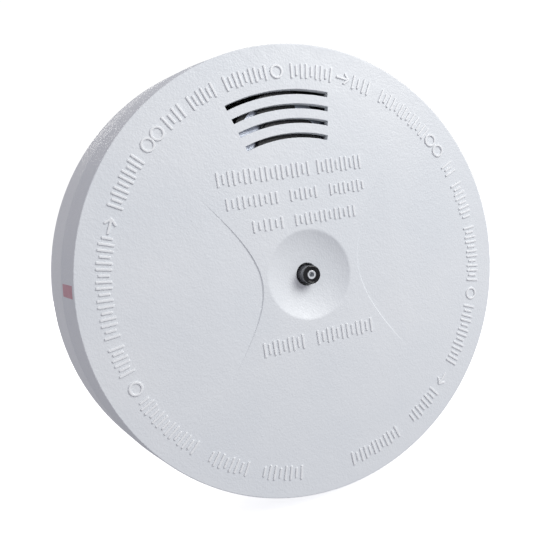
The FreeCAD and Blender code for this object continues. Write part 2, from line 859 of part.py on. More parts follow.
def battery_pad():
    inset = 3.0
    half_length = battery_length / 2 - inset
    half_width = battery_width / 2 - inset
    return block(battery_centre_x - half_length, battery_centre_x + half_length,
                 battery_centre_y - half_width, battery_centre_y + half_width, battery_top, roof_bottom)


def rear_label():
    length, width = label_size
    return block(-length / 2, length / 2, label_y - width / 2, label_y + width / 2,
                 floor_height - label_thickness, floor_height)


# ---------------------------------------------------------------- every node, and the export
nodes = {
    "mounting_plate": mounting_plate(),
    "base_housing": base_housing(),
    "front_cover": front_cover(),
    "cover_screws": cover_screws(),
    "skirt_marker": skirt_marker(),
    "test_button": test_button(),
    "indicator_lens": indicator_lens(),
    "circuit_board": circuit_board(),
    "board_screws": board_screws(),
    "indicator_led": indicator_led(),
    "led_leads": led_leads(),
    "switch_body": switch_body(),
    "switch_shield": switch_shield(),
    "switch_plunger": switch_plunger(),
    "sounder_cup": sounder_cup(),
    "sounder_gasket": sounder_gasket(),
    "sounder_disc": sounder_disc(),
    "sounder_ceramic": sounder_ceramic(),
    "sounder_cap": sounder_cap(),
    "sounder_contacts": sounder_contacts(),
    "thermistor_bead": thermistor_bead(),
    "thermistor_leads": thermistor_leads(),
    "control_chip": control_chip(),
    "chip_legs": chip_legs(),
    "coil_core": coil_core(),
    "coil_winding": coil_winding(),
    "electrolytic_capacitors": electrolytic_capacitors(),
    "resistors": resistors(),
    "resistor_feet": resistor_feet(),
    "ceramic_capacitors": ceramic_capacitors(),
    "transistors": transistors(),
    "transistor_legs": transistor_legs(),
    "battery_case": battery_case(),
    "battery_terminals": battery_terminals(),
    "snap_connector": snap_connector(),
    "battery_lead_red": battery_lead(-1.2),
    "battery_lead_black": battery_lead(1.2),
    "battery_pad": battery_pad(),
    "rear_label": rear_label(),
}

for name, made in nodes.items():
    shape = Part.makeCompound(made) if isinstance(made, list) else made
    shape.rotate(Vector(0, 0, 0), Vector(1, 0, 0), 90)
    if not shape.isValid():
        raise ValueError(name + " is not a valid shape")
    shape.exportStep("parts/" + name + ".step")
    print(name, len(shape.Solids), round(shape.Volume, 1))
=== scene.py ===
import math

import bmesh
import bpy
from mathutils import Matrix, Vector


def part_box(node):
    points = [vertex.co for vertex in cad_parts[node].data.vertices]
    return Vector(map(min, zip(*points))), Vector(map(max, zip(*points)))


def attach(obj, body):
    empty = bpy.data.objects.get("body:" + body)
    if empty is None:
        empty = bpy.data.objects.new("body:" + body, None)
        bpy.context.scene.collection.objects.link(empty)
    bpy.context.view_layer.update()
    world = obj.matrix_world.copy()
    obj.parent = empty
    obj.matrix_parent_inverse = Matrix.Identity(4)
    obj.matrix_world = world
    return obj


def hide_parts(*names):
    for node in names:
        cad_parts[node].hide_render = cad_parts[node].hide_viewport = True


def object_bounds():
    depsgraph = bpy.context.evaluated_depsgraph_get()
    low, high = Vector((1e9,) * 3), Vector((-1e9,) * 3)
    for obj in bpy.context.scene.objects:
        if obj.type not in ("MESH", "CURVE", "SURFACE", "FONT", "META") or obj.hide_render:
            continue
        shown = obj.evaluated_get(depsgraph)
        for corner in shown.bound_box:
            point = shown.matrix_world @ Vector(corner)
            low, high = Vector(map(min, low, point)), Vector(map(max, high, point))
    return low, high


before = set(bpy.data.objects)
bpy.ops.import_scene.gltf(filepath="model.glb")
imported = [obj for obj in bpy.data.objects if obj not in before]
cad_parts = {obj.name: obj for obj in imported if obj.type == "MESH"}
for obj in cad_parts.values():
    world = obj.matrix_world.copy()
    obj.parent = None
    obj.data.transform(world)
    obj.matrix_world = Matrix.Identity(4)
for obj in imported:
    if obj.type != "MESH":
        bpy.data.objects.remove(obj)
cad_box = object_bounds()

# A heat detector, standing on its rim with its face towards -Y and its slots at the top.
# Turned shapes are drawn face up on the bench, in millimetres: Z is the axis and z = 0 the mounting face.
# stand_up() then brings them into the frame, in metres.

MM = 0.001
TURN_STEPS = 288
WELD_DISTANCE = 1e-5
FLAT_FACE_WEIGHT = 90

# ---------------------------------------------------------------- sizes, in millimetres
COVER_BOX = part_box("front_cover")
BUTTON_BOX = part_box("test_button")
LENS_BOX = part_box("indicator_lens")

FACE = -COVER_BOX[0].y / MM          # height of the front face over the mounting face
BUTTON_TOP = -BUTTON_BOX[0].y / MM
BUTTON_LOW = -BUTTON_BOX[1].y / MM
LENS_TOP = -LENS_BOX[0].y / MM
LENS_LOW = -LENS_BOX[1].y / MM
BOARD_LOW = -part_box("circuit_board")[1].y / MM
OVERRUN = 1.0                        # how far a cutter reaches past what it cuts

# the shell
BACK_RADIUS = 60.0
JOINT_RADIUS = 57.7
RIM_RADIUS = 55.7
JOINT = 17.7
JOINT_GAP = 0.4
WALL = 2.0
RIM_ROUND = 0.3
RIM_STEPS = 7
BROKEN_EDGE = 0.12                   # the small bevel along the joint line

# the mounting plate
PLATE_RIM = 3.0
PLATE_WEB = 2.0
PLATE_RIM_WIDTH = 2.4
PLATE_SET_IN = 0.15
PLATE_GAP = 0.3
PLATE_BORE = 5.0
GROOVE_RADII = (16.0, 26.5, 48.0)
GROOVE_HALF_WIDTH = 0.6
GROOVE_DEPTH = 0.6
RIB_INNER, RIB_OUTER = 35.8, 37.0    # the ring rib on the plate's front
FIXING_PLACE = 30.0                  # middle of a fixing slot, out from the axis
FIXING_HALF_RUN = 2.3
FIXING_RADIUS = 2.2
FIXING_STEPS = 16
PLATE_BACK_ROUND = 0.3
PLATE_FRONT_ROUND = 0.2
ROUND_SHARE = 0.3                    # how far in the middle of a round sits, as a share of its size

# the bayonet: hooks on the plate, and the cuts they pass in the housing's floor
HOOK_ANGLES = (106, 226, 346)
HOOK_HALF_ANGLE = 5
HOOK_INNER, HOOK_OUTER = 44.5, 46.5
HOOK_REACH = 2.4
HOOK_ROOT = 1.5
HOOK_FOOT_LOW = 7.4
HOOK_TOP = 9.0
HOOK_CLEARANCE = 0.4
HOOK_SPARE = 0.5                     # the same clearance, as an angle
HOOK_STEPS = 16
TWIST = 15
RUN_CUT = (4.0, 8.5)                 # heights between which the floor is cut for a hook's post
MOUTH_CUT = (4.1, 8.6)

# the housing
FLOOR_LOW = 5.3
FLOOR_HIGH = 7.1
SCREW_CIRCLE = 50.0
SCREW_ANGLES = (30, 150, 270)
BOSS_RADIUS = 3.95                   # round a cover screw's head, in the housing
HEAD_HOLE_RADIUS = 3.05
HEAD_HOLE_DEPTH = 2.0
SHANK_HOLE_RADIUS = 1.65
POST_RADIUS = 3.0
POST_ROOT = 0.5                      # how far a post sinks into the floor
POST_PILOT = 1.1
PILOT_STEPS = 32
POST_PILOT_LOW = 0.6                 # bottom of a post's pilot hole, over the floor
BOARD_POSTS = ((-38.0, -6.0), (38.0, -6.0), (30.0, 28.0), (-30.0, 28.0))
BAY_LEFT, BAY_RIGHT = -24.7, 28.3
BAY_BELOW, BAY_ABOVE = -41.45, -13.95
BAY_WALL = 1.2
BAY_ROOF = 24.75
LEAD_X = 24.7                        # where the battery leads leave the bay
LEAD_HALF_WIDTH = 2.6
LEAD_LOW, LEAD_HIGH = 14.6, 18.6
CATCH_LEFT, CATCH_RIGHT = -6.4, 3.6
CATCH_LOW, CATCH_HIGH = 4.5, 5.4
CATCH_REACH = 0.8

# the cover
DISH_RADIUS = 11.1
DISH_DEPTH = 1.95
DISH_CURVE = 2.6
DISH_EDGE = 0.7
DISH_STEPS = 22
DISH_EDGE_STEPS = 6
DISH_BOSS = 1.0                      # wall round the dish, behind the face
LIP_CLEARANCE = 0.2
LIP_THICKNESS = 1.2
LIP_DEPTH = 2.2
LIP_ROOT = 1.5                       # how far the lip runs up inside the skirt
SKIRT_TUCK = 0.02
SLOT_RADII = (44.4, 41.0, 37.55, 34.05)
SLOT_WIDTH = 1.2
SLOT_LEFT = 19.7
SLOT_RIGHT = (15.2, 17.1)
SLOT_BREAK = 0.07                    # the broken edge along each slot
SLOT_EASE = 0.35
SLOT_FLARE = 1.6
SLOT_STEPS = 40
WAIST = {1: 13.65, -1: 12.7}         # right and left half widths of the hourglass
SPREAD = {1: 15.8, -1: 13.3}
LOBE_END = 25.0
LOBE_DEPTH = 0.3
LOBE_SPAN = 0.995                    # the lobe stops just short of the point where its depth is nothing
LOBE_OVERRUN = 0.6
LOBE_LIFT = 0.004                    # keeps the cutter's own edges just clear of the face
LOBE_ROWS = 72
LOBE_COLUMNS = 8
CREASE_WIDTH = 0.36
CREASE_COLUMNS = (0.0, 0.12, 0.25, 0.38, 0.5, 0.62, 0.75, 0.88, 1.0)
MARKER_ANGLE = 173.6
MARKER_HALF_WIDTH = 1.45
MARKER_MARGIN = 1.4
MARKER_DEPTH = 4.0
COVER_BOSS_RADIUS = 3.2
COVER_BOSS_ROOT = 0.2                # how far a boss sinks into the face
COVER_SCREW_RADIUS = 1.4
BORE_RADIUS = 2.8
BORE_EDGE = 0.14                     # the rounded edge of the button's bore
BORE_ROUND = ((0.0, 0.2), (0.04, 0.09))   # points on that edge: out from the bore, and down
COLLAR_BORE = 3.85
GUIDE_RADIUS = 5.15
GUIDE_LOW = 19.5

# the button and its lens
BUTTON_RADIUS = 2.3
BUTTON_EDGE = 0.28
BUTTON_STEPS = 128
BUTTON_EDGE_STEPS = 6
BUTTON_RECESS = 0.34
RECESS_FLAT = 0.45                   # flat ring round the lens
RECESS_RIM = 0.3
RECESS_DROP = 0.04
RECESS_SET = 0.1
RECESS_ROUND = 0.12
BUTTON_FACE_DROP = 0.35              # how far down its sides the painted sheen and scuffs start
COLLAR_RADIUS = 3.8
COLLAR_PLAY = 0.15
ARM_REACH = (2.6, 9.0)
ARM_HALF_WIDTH = 1.5
ARM_THICKNESS = 1.4
LENS_RADIUS = 1.1
LENS_STEPS = 96
LENS_CREASE = 50
LENS_EDGE = 0.12
LENS_EDGE_STEPS = 4
LENS_HOLLOW = ((0.70, 0.02), (0.64, 0.10), (0.60, 0.62), (0.42, 0.66), (0.26, 0.56), (0.0, 0.52))
LENS_FLANGE_RADIUS = 2.0
LENS_FLANGE = 1.0
LENS_ROOM = (2.1, 4.1)               # the hollow in the button behind the lens: radius and height


# ---------------------------------------------------------------- mesh helpers
def outer_radius(z):
    """Outside radius of the shell at height z over the mounting face."""
    if z <= JOINT:
        return BACK_RADIUS + (JOINT_RADIUS - BACK_RADIUS) * z / JOINT
    return JOINT_RADIUS + (RIM_RADIUS - JOINT_RADIUS) * (z - JOINT) / (FACE - JOINT)


def new_object(name, points, faces):
    mesh = bpy.data.meshes.new(name)
    mesh.from_pydata([Vector(p) for p in points], [], faces)
    mesh.validate()
    made = bpy.data.objects.new(name, mesh)
    bpy.context.scene.collection.objects.link(made)
    outward(made)
    return made


def outward(thing):
    """Makes every face normal of a closed mesh point outwards."""
    work = bmesh.new()
    work.from_mesh(thing.data)
    bmesh.ops.recalc_face_normals(work, faces=work.faces)
    work.to_mesh(thing.data)
    work.free()


def arc(centre, radius, start, end, steps):
    """Points of an arc in the (radius, height) plane, angles in degrees."""
    points = []
    for step in range(steps + 1):
        turn = math.radians(start + (end - start) * step / steps)
        points.append((centre[0] + radius * math.cos(turn), centre[1] + radius * math.sin(turn)))
    return points


def turned(name, outline, steps=TURN_STEPS):
    """A closed solid turned about Z from a closed outline of (radius, height) points."""
    points = []
    faces = []
    count = len(outline)
    for step in range(steps):
        turn = 2 * math.pi * step / steps
        for radius, height in outline:
            points.append((radius * math.cos(turn), radius * math.sin(turn), height))
    for step in range(steps):
        here = step * count
        there = (step + 1) % steps * count
        for index in range(count):
            after = (index + 1) % count
            faces.append((here + index, here + after, there + after, there + index))
    made = new_object(name, points, faces)
    weld(made)
    return made


def weld(thing):
    """Joins points that fall together, such as those on the axis."""
    work = bmesh.new()
    work.from_mesh(thing.data)
    bmesh.ops.remove_doubles(work, verts=work.verts, dist=WELD_DISTANCE)
    bmesh.ops.dissolve_degenerate(work, dist=WELD_DISTANCE, edges=work.edges)
    work.to_mesh(thing.data)
    work.free()


def lofted(name, sections):
    """A closed solid through sections, each a list of points of the same length, capped at both ends."""
    count = len(sections[0])
    points = [point for section in sections for point in section]
    faces = []
    for level in range(len(sections) - 1):
        low = level * count
        high = low + count
        for index in range(count):
            after = (index + 1) % count
            faces.append((low + index, low + after, high + after, high + index))
    faces.append(tuple(range(count)))
    faces.append(tuple(range(len(points) - count, len(points))))
    return new_object(name, points, faces)


def box_piece(name, low, high):
    sections = []
    for z in (low[2], high[2]):
        sections.append([(low[0], low[1], z), (high[0], low[1], z),
                         (high[0], high[1], z), (low[0], high[1], z)])
    return lofted(name, sections)


def rod_piece(name, radius, low, high, x, y, steps=64, bore=0):
    """An upright rod at x, y, or a tube where it has a bore."""
    made = turned(name, [(bore, low), (radius, low), (radius, high), (bore, high)], steps)
    made.data.transform(Matrix.Translation((x, y, 0)))
    return made


def apply_modifiers(thing):
    graph = bpy.context.evaluated_depsgraph_get()
    final = bpy.data.meshes.new_from_object(thing.evaluated_get(graph))
    thing.modifiers.clear()
    thing.data = final


def combine(thing, others, operation):
    """Cuts or joins solids, and removes the ones that were used."""
    for other in others:
        change = thing.modifiers.new("combine", "BOOLEAN")
        change.operation = operation
        change.solver = "EXACT"
        change.object = other
        bpy.context.view_layer.update()
        apply_modifiers(thing)
    for other in others:
        bpy.data.objects.remove(other)


def gather(name, pieces):
    """One mesh out of several closed pieces."""
    work = bmesh.new()
    for piece in pieces:
        work.from_mesh(piece.data)
    mesh = bpy.data.meshes.new(name)
    work.to_mesh(mesh)
    work.free()
    for piece in pieces:
        bpy.data.objects.remove(piece)
    made = bpy.data.objects.new(name, mesh)
    bpy.context.scene.collection.objects.link(made)
    return made


def soften(thing, angle=32.0):
    """Smooth shading with crisp edges above the angle. Large flat faces keep their own normal."""
    for face in thing.data.polygons:
        face.use_smooth = True
    thing.data.set_sharp_from_angle(angle=math.radians(angle))
    weight = thing.modifiers.new("weighted", "WEIGHTED_NORMAL")
    weight.keep_sharp = True
    weight.weight = FLAT_FACE_WEIGHT
    bpy.context.view_layer.update()
    apply_modifiers(thing)


def stand_up(thing):
    """From the bench, in millimetres, to the frame, in metres."""
    thing.data.transform(Matrix.Scale(MM, 4) @ Matrix.Rotation(math.radians(90), 4, "X"))
    thing.data.update()


def finish_piece(thing, material, body, slot_name, *nodes):
    stand_up(thing)
    thing.data.materials.clear()
    thing.data.materials.append(material)
    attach(thing, body)
    if nodes:
        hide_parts(*nodes)


# ---------------------------------------------------------------- material helpers
def colour(code):
    """An sRGB hex colour as the linear colour that a shader takes."""
    channels = [int(code[i:i + 2], 16) / 255 for i in (1, 3, 5)]
    linear = [c / 12.92 if c <= 0.04045 else ((c + 0.055) / 1.055) ** 2.4 for c in channels]
    return (*linear, 1.0)


def add(tree, kind, links=None, **settings):
    """One node, with its settings, and its inputs as values or as other nodes' outputs."""
    made = tree.nodes.new(kind)
    for name, value in settings.items():
        setattr(made, name, value)
    for name, value in (links or {}).items():
        if isinstance(value, bpy.types.NodeSocket):
            tree.links.new(value, made.inputs[name])
        else:
            made.inputs[name].default_value = value
    return made


NOISE_SPAN = {"From Min": 0.3, "From Max": 0.7}   # where nearly all of a noise's values lie


def per_mm(size):
    """Scale of a noise or cell pattern whose features are this many millimetres across."""
    return 1000.0 / size


def blank_material(name):
    """A new material with no nodes yet but its object coordinates."""
    material = bpy.data.materials.new(name)
    material.use_nodes = True
    tree = material.node_tree
    tree.nodes.clear()
    place = add(tree, "ShaderNodeTexCoord").outputs["Object"]
    return material, tree, place


# ---------------------------------------------------------------- materials of the outside
def moulded_white_abs(name, light, shade, rough=(0.40, 0.52), grain_mm=0.9, grain_depth=0.05, specks=True):
    """White ABS out of a spark-eroded mould: a fine dull grain, slow drifts of tone, a few dark specks.

    Real spark grain is about 0.1 mm across, too fine to show, so it is drawn as coarse as it needs to show.
    """
    material, tree, place = blank_material(name)
    drift = add(tree, "ShaderNodeTexNoise", {"Vector": place, "Scale": per_mm(28.0), "Detail": 3.0})
    share = add(tree, "ShaderNodeMapRange", {"Value": drift.outputs[0], "From Min": 0.32, "From Max": 0.68})
    tone = add(tree, "ShaderNodeMix", {
        0: share.outputs[0], 6: colour(light), 7: colour(shade)}, data_type="RGBA")
    if specks:
        # Odd dark pellets in the melt, some 0.3 mm across and a finger's width apart.
        cells = add(tree, "ShaderNodeTexVoronoi", {"Vector": place, "Scale": per_mm(5.0)})
        dot = add(tree, "ShaderNodeMapRange", {
            "Value": cells.outputs[0], "From Min": 0.022, "From Max": 0.038, "To Min": 0.55, "To Max": 0.0})
        patch = add(tree, "ShaderNodeTexNoise", {"Vector": place, "Scale": per_mm(9.0), "Detail": 0.0})
        chosen = add(tree, "ShaderNodeMapRange", {
            "Value": patch.outputs[0], "From Min": 0.60, "From Max": 0.62})
        both = add(tree, "ShaderNodeMath", {0: dot.outputs[0], 1: chosen.outputs[0]}, operation="MULTIPLY")
        tone = add(tree, "ShaderNodeMix", {
            0: both.outputs[0], 6: tone.outputs[2], 7: colour("#8a8a88")}, data_type="RGBA")
    mottle = add(tree, "ShaderNodeTexNoise", {"Vector": place, "Scale": per_mm(2.4)})
    dull = add(tree, "ShaderNodeMapRange", {
        "Value": mottle.outputs[0], **NOISE_SPAN, "To Min": rough[0], "To Max": rough[1]})
    grain = add(tree, "ShaderNodeTexNoise", {
        "Vector": place, "Scale": per_mm(grain_mm), "Detail": 3.0, "Roughness": 0.6})
    fine = add(tree, "ShaderNodeTexNoise", {"Vector": place, "Scale": per_mm(grain_mm * 0.5), "Detail": 1.0})
    broad_bump = add(tree, "ShaderNodeBump", {"Height": mottle.outputs[0], "Distance": grain_depth * MM})
    grain_bump = add(tree, "ShaderNodeBump", {
        "Height": grain.outputs[0], "Distance": grain_depth * MM, "Normal": broad_bump.outputs[0]})
    fine_bump = add(tree, "ShaderNodeBump", {
        "Height": fine.outputs[0], "Distance": grain_depth * 0.8 * MM, "Normal": grain_bump.outputs[0]})
    shader = add(tree, "ShaderNodeBsdfPrincipled", {
        "Base Color": tone.outputs[2], "Roughness": dull.outputs[0], "IOR": 1.53,
        "Normal": fine_bump.outputs[0]})
    add(tree, "ShaderNodeOutputMaterial", {"Surface": shader.outputs[0]})
    return material


def moulded_black_abs(name, code, scuffed_and_lit_tone, rough, sheen_and_scuffs_from=None):
    """Black ABS from a polished mould: satin, with grey scuffs where it is handled.

    sheen_and_scuffs_from is a height over the mounting face, in millimetres: below it the sides are painted a
    lighter grey all over, partly scuffs and partly painted sheen of a lit side, and above it the end stays
    dark. Scuffs are hair-fine, so they are drawn as coarse as they need to show.
    """
    material, tree, place = blank_material(name)
    scuffs = add(tree, "ShaderNodeTexNoise", {
        "Vector": place, "Scale": per_mm(1.1), "Detail": 4.0, "Roughness": 0.65})
    share = add(tree, "ShaderNodeMapRange", {"Value": scuffs.outputs[0], "From Min": 0.45, "From Max": 0.75})
    if sheen_and_scuffs_from is not None:
        across = add(tree, "ShaderNodeSeparateXYZ", {0: place})
        # Painted sheen: the sides come out lighter grey than the end, partly scuffs and partly painted light
        # on the lit barrel.
        sides = add(tree, "ShaderNodeMapRange", {
            "Value": across.outputs["Y"], "From Min": -sheen_and_scuffs_from * MM, "From Max": (0.25 - sheen_and_scuffs_from) * MM})
        scuffs_and_sheen = add(tree, "ShaderNodeMapRange", {
            "Value": scuffs.outputs[0], "From Min": 0.30, "From Max": 0.70, "To Min": 0.35, "To Max": 1.0})
        share = add(tree, "ShaderNodeMath", {
            0: sides.outputs[0], 1: scuffs_and_sheen.outputs[0]}, operation="MULTIPLY")
    tone = add(tree, "ShaderNodeMix", {
        0: share.outputs[0], 6: colour(code), 7: colour(scuffed_and_lit_tone)}, data_type="RGBA")
    dull = add(tree, "ShaderNodeMapRange", {
        "Value": scuffs.outputs[0], **NOISE_SPAN, "To Min": rough[0], "To Max": rough[1]})
    skin = add(tree, "ShaderNodeTexNoise", {"Vector": place, "Scale": per_mm(0.3), "Detail": 3.0})
    bump = add(tree, "ShaderNodeBump", {"Height": skin.outputs[0], "Distance": 0.006 * MM})
    shader = add(tree, "ShaderNodeBsdfPrincipled", {
        "Base Color": tone.outputs[2], "Roughness": dull.outputs[0], "IOR": 1.53, "Normal": bump.outputs[0]})
    add(tree, "ShaderNodeOutputMaterial", {"Surface": shader.outputs[0]})
    return material


def clear_polycarbonate(name):
    """Clear moulded polycarbonate light guide: glossy and a little milky, so its rim is a pale ring.

    A grey core is painted in its middle, as painted shade in the hollow.
    """
    material, tree, place = blank_material(name)
    milk = add(tree, "ShaderNodeTexNoise", {"Vector": place, "Scale": per_mm(0.5)})
    rim = add(tree, "ShaderNodeMix", {
        0: milk.outputs[0], 6: colour("#eef1f3"), 7: colour("#dde2e6")}, data_type="RGBA")
    across = add(tree, "ShaderNodeMapping", {"Vector": place, "Scale": (1.0, 0.0, 1.0)})
    reach = add(tree, "ShaderNodeVectorMath", {0: across.outputs[0]}, operation="LENGTH")
    # Painted shade: a grey core in the middle of the lens, where its hollow lies.
    core = add(tree, "ShaderNodeMapRange", {
        "Value": reach.outputs["Value"], "From Min": 0.48 * MM, "From Max": 0.66 * MM,
        "To Min": 1.0, "To Max": 0.0})
    tone = add(tree, "ShaderNodeMix", {
        0: core.outputs[0], 6: rim.outputs[2], 7: colour("#7c8187")}, data_type="RGBA")
    dull = add(tree, "ShaderNodeMapRange", {
        "Value": milk.outputs[0], **NOISE_SPAN, "To Min": 0.10, "To Max": 0.20})
    bump = add(tree, "ShaderNodeBump", {"Height": milk.outputs[0], "Distance": 0.002 * MM})
    shader = add(tree, "ShaderNodeBsdfPrincipled", {
        "Base Color": tone.outputs[2], "Roughness": dull.outputs[0], "IOR": 1.586,
        "Transmission Weight": 0.2, "Normal": bump.outputs[0]})
    add(tree, "ShaderNodeOutputMaterial", {"Surface": shader.outputs[0]})
    return material


# ---------------------------------------------------------------- materials of the inside
def plated_metal(name, code, dark, rough, grain_mm):
    """Plated metal, drawn or rolled before plating: bright, with fine streaks and duller patches.

    Drawing streaks are far finer than a millimetre, so they are drawn as coarse as they need to show.
    """
    material, tree, place = blank_material(name)
    drawn = add(tree, "ShaderNodeMapping", {"Vector": place, "Scale": (1.0, 6.0, 1.0)})
    streaks = add(tree, "ShaderNodeTexNoise", {
        "Vector": drawn.outputs[0], "Scale": per_mm(grain_mm), "Detail": 3.0})
    tone = add(tree, "ShaderNodeMix", {
        0: streaks.outputs[0], 6: colour(code), 7: colour(dark)}, data_type="RGBA")
    dull = add(tree, "ShaderNodeMapRange", {
        "Value": streaks.outputs[0], **NOISE_SPAN, "To Min": rough, "To Max": rough + 0.14})
    bump = add(tree, "ShaderNodeBump", {"Height": streaks.outputs[0], "Distance": 0.003 * MM})
    shader = add(tree, "ShaderNodeBsdfPrincipled", {
        "Base Color": tone.outputs[2], "Roughness": dull.outputs[0], "Metallic": 1.0,
        "Normal": bump.outputs[0]})
    add(tree, "ShaderNodeOutputMaterial", {"Surface": shader.outputs[0]})
    return material


def coated(name, code, second, rough, size_mm, depth=0.01, ior=1.5):
    """A dipped, lacquered, sleeved or moulded skin: even colour with slow drifts, and never quite flat."""
    material, tree, place = blank_material(name)
    drift = add(tree, "ShaderNodeTexNoise", {"Vector": place, "Scale": per_mm(size_mm), "Detail": 3.0})
    tone = add(tree, "ShaderNodeMix", {
        0: drift.outputs[0], 6: colour(code), 7: colour(second)}, data_type="RGBA")
    dull = add(tree, "ShaderNodeMapRange", {
        "Value": drift.outputs[0], **NOISE_SPAN, "To Min": rough, "To Max": rough + 0.12})
    bump = add(tree, "ShaderNodeBump", {"Height": drift.outputs[0], "Distance": depth * MM})
    shader = add(tree, "ShaderNodeBsdfPrincipled", {
        "Base Color": tone.outputs[2], "Roughness": dull.outputs[0], "IOR": ior, "Normal": bump.outputs[0]})
    add(tree, "ShaderNodeOutputMaterial", {"Surface": shader.outputs[0]})
    return material


def solder_mask(name):
    """Green solder mask curtain-coated over etched copper: tracks show lighter and raised under the gloss."""
    material, tree, place = blank_material(name)
    flat = add(tree, "ShaderNodeMapping", {"Vector": place, "Rotation": (math.radians(90), 0, 0)})
    tracks = add(tree, "ShaderNodeTexBrick", {
        "Vector": flat.outputs[0], "Scale": per_mm(6.0), "Mortar Size": 0.09, "Mortar Smooth": 0.1,
        "Brick Width": 1.7, "Row Height": 0.42})
    tone = add(tree, "ShaderNodeMix", {
        0: tracks.outputs["Fac"], 6: colour("#14502f"), 7: colour("#2a7a45")}, data_type="RGBA")
    film = add(tree, "ShaderNodeTexNoise", {"Vector": place, "Scale": per_mm(1.5)})
    dull = add(tree, "ShaderNodeMapRange", {
        "Value": film.outputs[0], **NOISE_SPAN, "To Min": 0.22, "To Max": 0.34})
    bump = add(tree, "ShaderNodeBump", {"Height": tracks.outputs["Fac"], "Distance": 0.035 * MM})
    shader = add(tree, "ShaderNodeBsdfPrincipled", {
        "Base Color": tone.outputs[2], "Roughness": dull.outputs[0], "IOR": 1.52, "Normal": bump.outputs[0]})
    add(tree, "ShaderNodeOutputMaterial", {"Surface": shader.outputs[0]})
    return material


def enamelled_windings(name):
    """Enamelled copper wire wound in layers: rings of warm metal colour under varnish.

    The wire is 0.1 mm thick, too fine to show, so its turns are drawn as coarse as they need to show.
    """
    material, tree, place = blank_material(name)
    turns = add(tree, "ShaderNodeTexWave", {
        "Vector": place, "Scale": per_mm(4.2), "Distortion": 0.2, "Detail": 1.0,
    }, wave_type="BANDS", bands_direction="Y")
    tone = add(tree, "ShaderNodeMix", {
        0: turns.outputs["Fac"], 6: colour("#5a2410"), 7: colour("#b4622e")}, data_type="RGBA")
    dull = add(tree, "ShaderNodeMapRange", {"Value": turns.outputs["Fac"], "To Min": 0.45, "To Max": 0.28})
    bump = add(tree, "ShaderNodeBump", {"Height": turns.outputs["Fac"], "Distance": 0.08 * MM})
    shader = add(tree, "ShaderNodeBsdfPrincipled", {
        "Base Color": tone.outputs[2], "Roughness": dull.outputs[0], "IOR": 1.5, "Coat Weight": 0.4,
        "Normal": bump.outputs[0]})
    add(tree, "ShaderNodeOutputMaterial", {"Surface": shader.outputs[0]})
    return material


# ---------------------------------------------------------------- the pieces of the outside
def polar(radius, degrees, height=0.0):
    """A point at this angle from +X, anticlockwise as seen from the front."""
    turn = math.radians(degrees)
    return Vector((radius * math.cos(turn), radius * math.sin(turn), height))


SCREW_PLACES = [polar(SCREW_CIRCLE, angle) for angle in SCREW_ANGLES]


def dish_height(radius):
    """Height of the dish's floor at this radius: nearly flat at the button, steepest at the edge."""
    return FACE - DISH_DEPTH * (1 - (radius / DISH_RADIUS) ** DISH_CURVE)


def cover_outline():
    """Section of the cover, from the button's bore over the dish, face and skirt, and back inside."""
    inner = FACE - WALL
    underside = inner - DISH_DEPTH
    low = JOINT + JOINT_GAP / 2
    root = low + LIP_ROOT
    lip_outer = outer_radius(JOINT - JOINT_GAP / 2) - WALL - LIP_CLEARANCE
    lip_inner = lip_outer - LIP_THICKNESS
    lip_low = JOINT - LIP_DEPTH
    outline = [(BORE_RADIUS, underside)]
    outline += [(BORE_RADIUS + out, dish_height(BORE_RADIUS) - down) for out, down in BORE_ROUND]
    dish_start = BORE_RADIUS + BORE_EDGE
    dish_end = DISH_RADIUS - DISH_EDGE / 2
    for step in range(DISH_STEPS + 1):
        radius = dish_start + (dish_end - dish_start) * step / DISH_STEPS
        outline.append((radius, dish_height(radius)))
    start = Vector((dish_end, dish_height(dish_end)))
    corner = Vector((DISH_RADIUS, FACE))
    end = Vector((DISH_RADIUS + DISH_EDGE / 2, FACE))
    for step in range(1, DISH_EDGE_STEPS + 1):
        t = step / DISH_EDGE_STEPS
        point = start * (1 - t) ** 2 + corner * 2 * t * (1 - t) + end * t ** 2
        outline.append((point.x, point.y))
    slope = math.degrees(math.atan2(JOINT_RADIUS - RIM_RADIUS, FACE - JOINT))
    outline += arc((RIM_RADIUS - RIM_ROUND, FACE - RIM_ROUND), RIM_ROUND, 90, slope, RIM_STEPS)
    outline.append((outer_radius(low) - SKIRT_TUCK, low + BROKEN_EDGE))
    outline += [(outer_radius(low) - BROKEN_EDGE, low), (lip_outer, low), (lip_outer, lip_low)]
    outline += [(lip_inner, lip_low), (lip_inner, root), (outer_radius(root) - WALL, root)]
    outline += [(outer_radius(inner) - WALL, inner), (DISH_RADIUS + DISH_BOSS, inner)]
    outline += [(DISH_RADIUS + DISH_BOSS, underside), (GUIDE_RADIUS, underside), (GUIDE_RADIUS, GUIDE_LOW)]
    outline += [(COLLAR_BORE, GUIDE_LOW), (COLLAR_BORE, underside)]
    return outline


def slot_section(radius, right, grow, height):
    """Outline of one slot at one height, grown all round by a little."""
    half = SLOT_WIDTH / 2 + grow
    extra = math.degrees(grow / radius)
    start = 90 - right - extra
    end = 90 + SLOT_LEFT + extra
    angles = [start + (end - start) * step / SLOT_STEPS for step in range(SLOT_STEPS + 1)]
    outside = [polar(radius + half, angle, height) for angle in angles]
    inside = [polar(radius - half, angle, height) for angle in reversed(angles)]
    return outside + inside


def slot_cutters():
    cutters = []
    for radius in SLOT_RADII:
        share = (SLOT_RADII[0] - radius) / (SLOT_RADII[0] - SLOT_RADII[-1])
        right = SLOT_RIGHT[0] + (SLOT_RIGHT[1] - SLOT_RIGHT[0]) * share
        eased = SLOT_BREAK * SLOT_EASE
        levels = [(0.0, FACE - WALL - OVERRUN), (0.0, FACE - SLOT_BREAK), (eased, FACE - eased),
                  (SLOT_BREAK, FACE), (SLOT_BREAK * SLOT_FLARE, FACE + OVERRUN / 2)]
        cutters.append(lofted("slot", [slot_section(radius, right, grow, z) for grow, z in levels]))
    return cutters


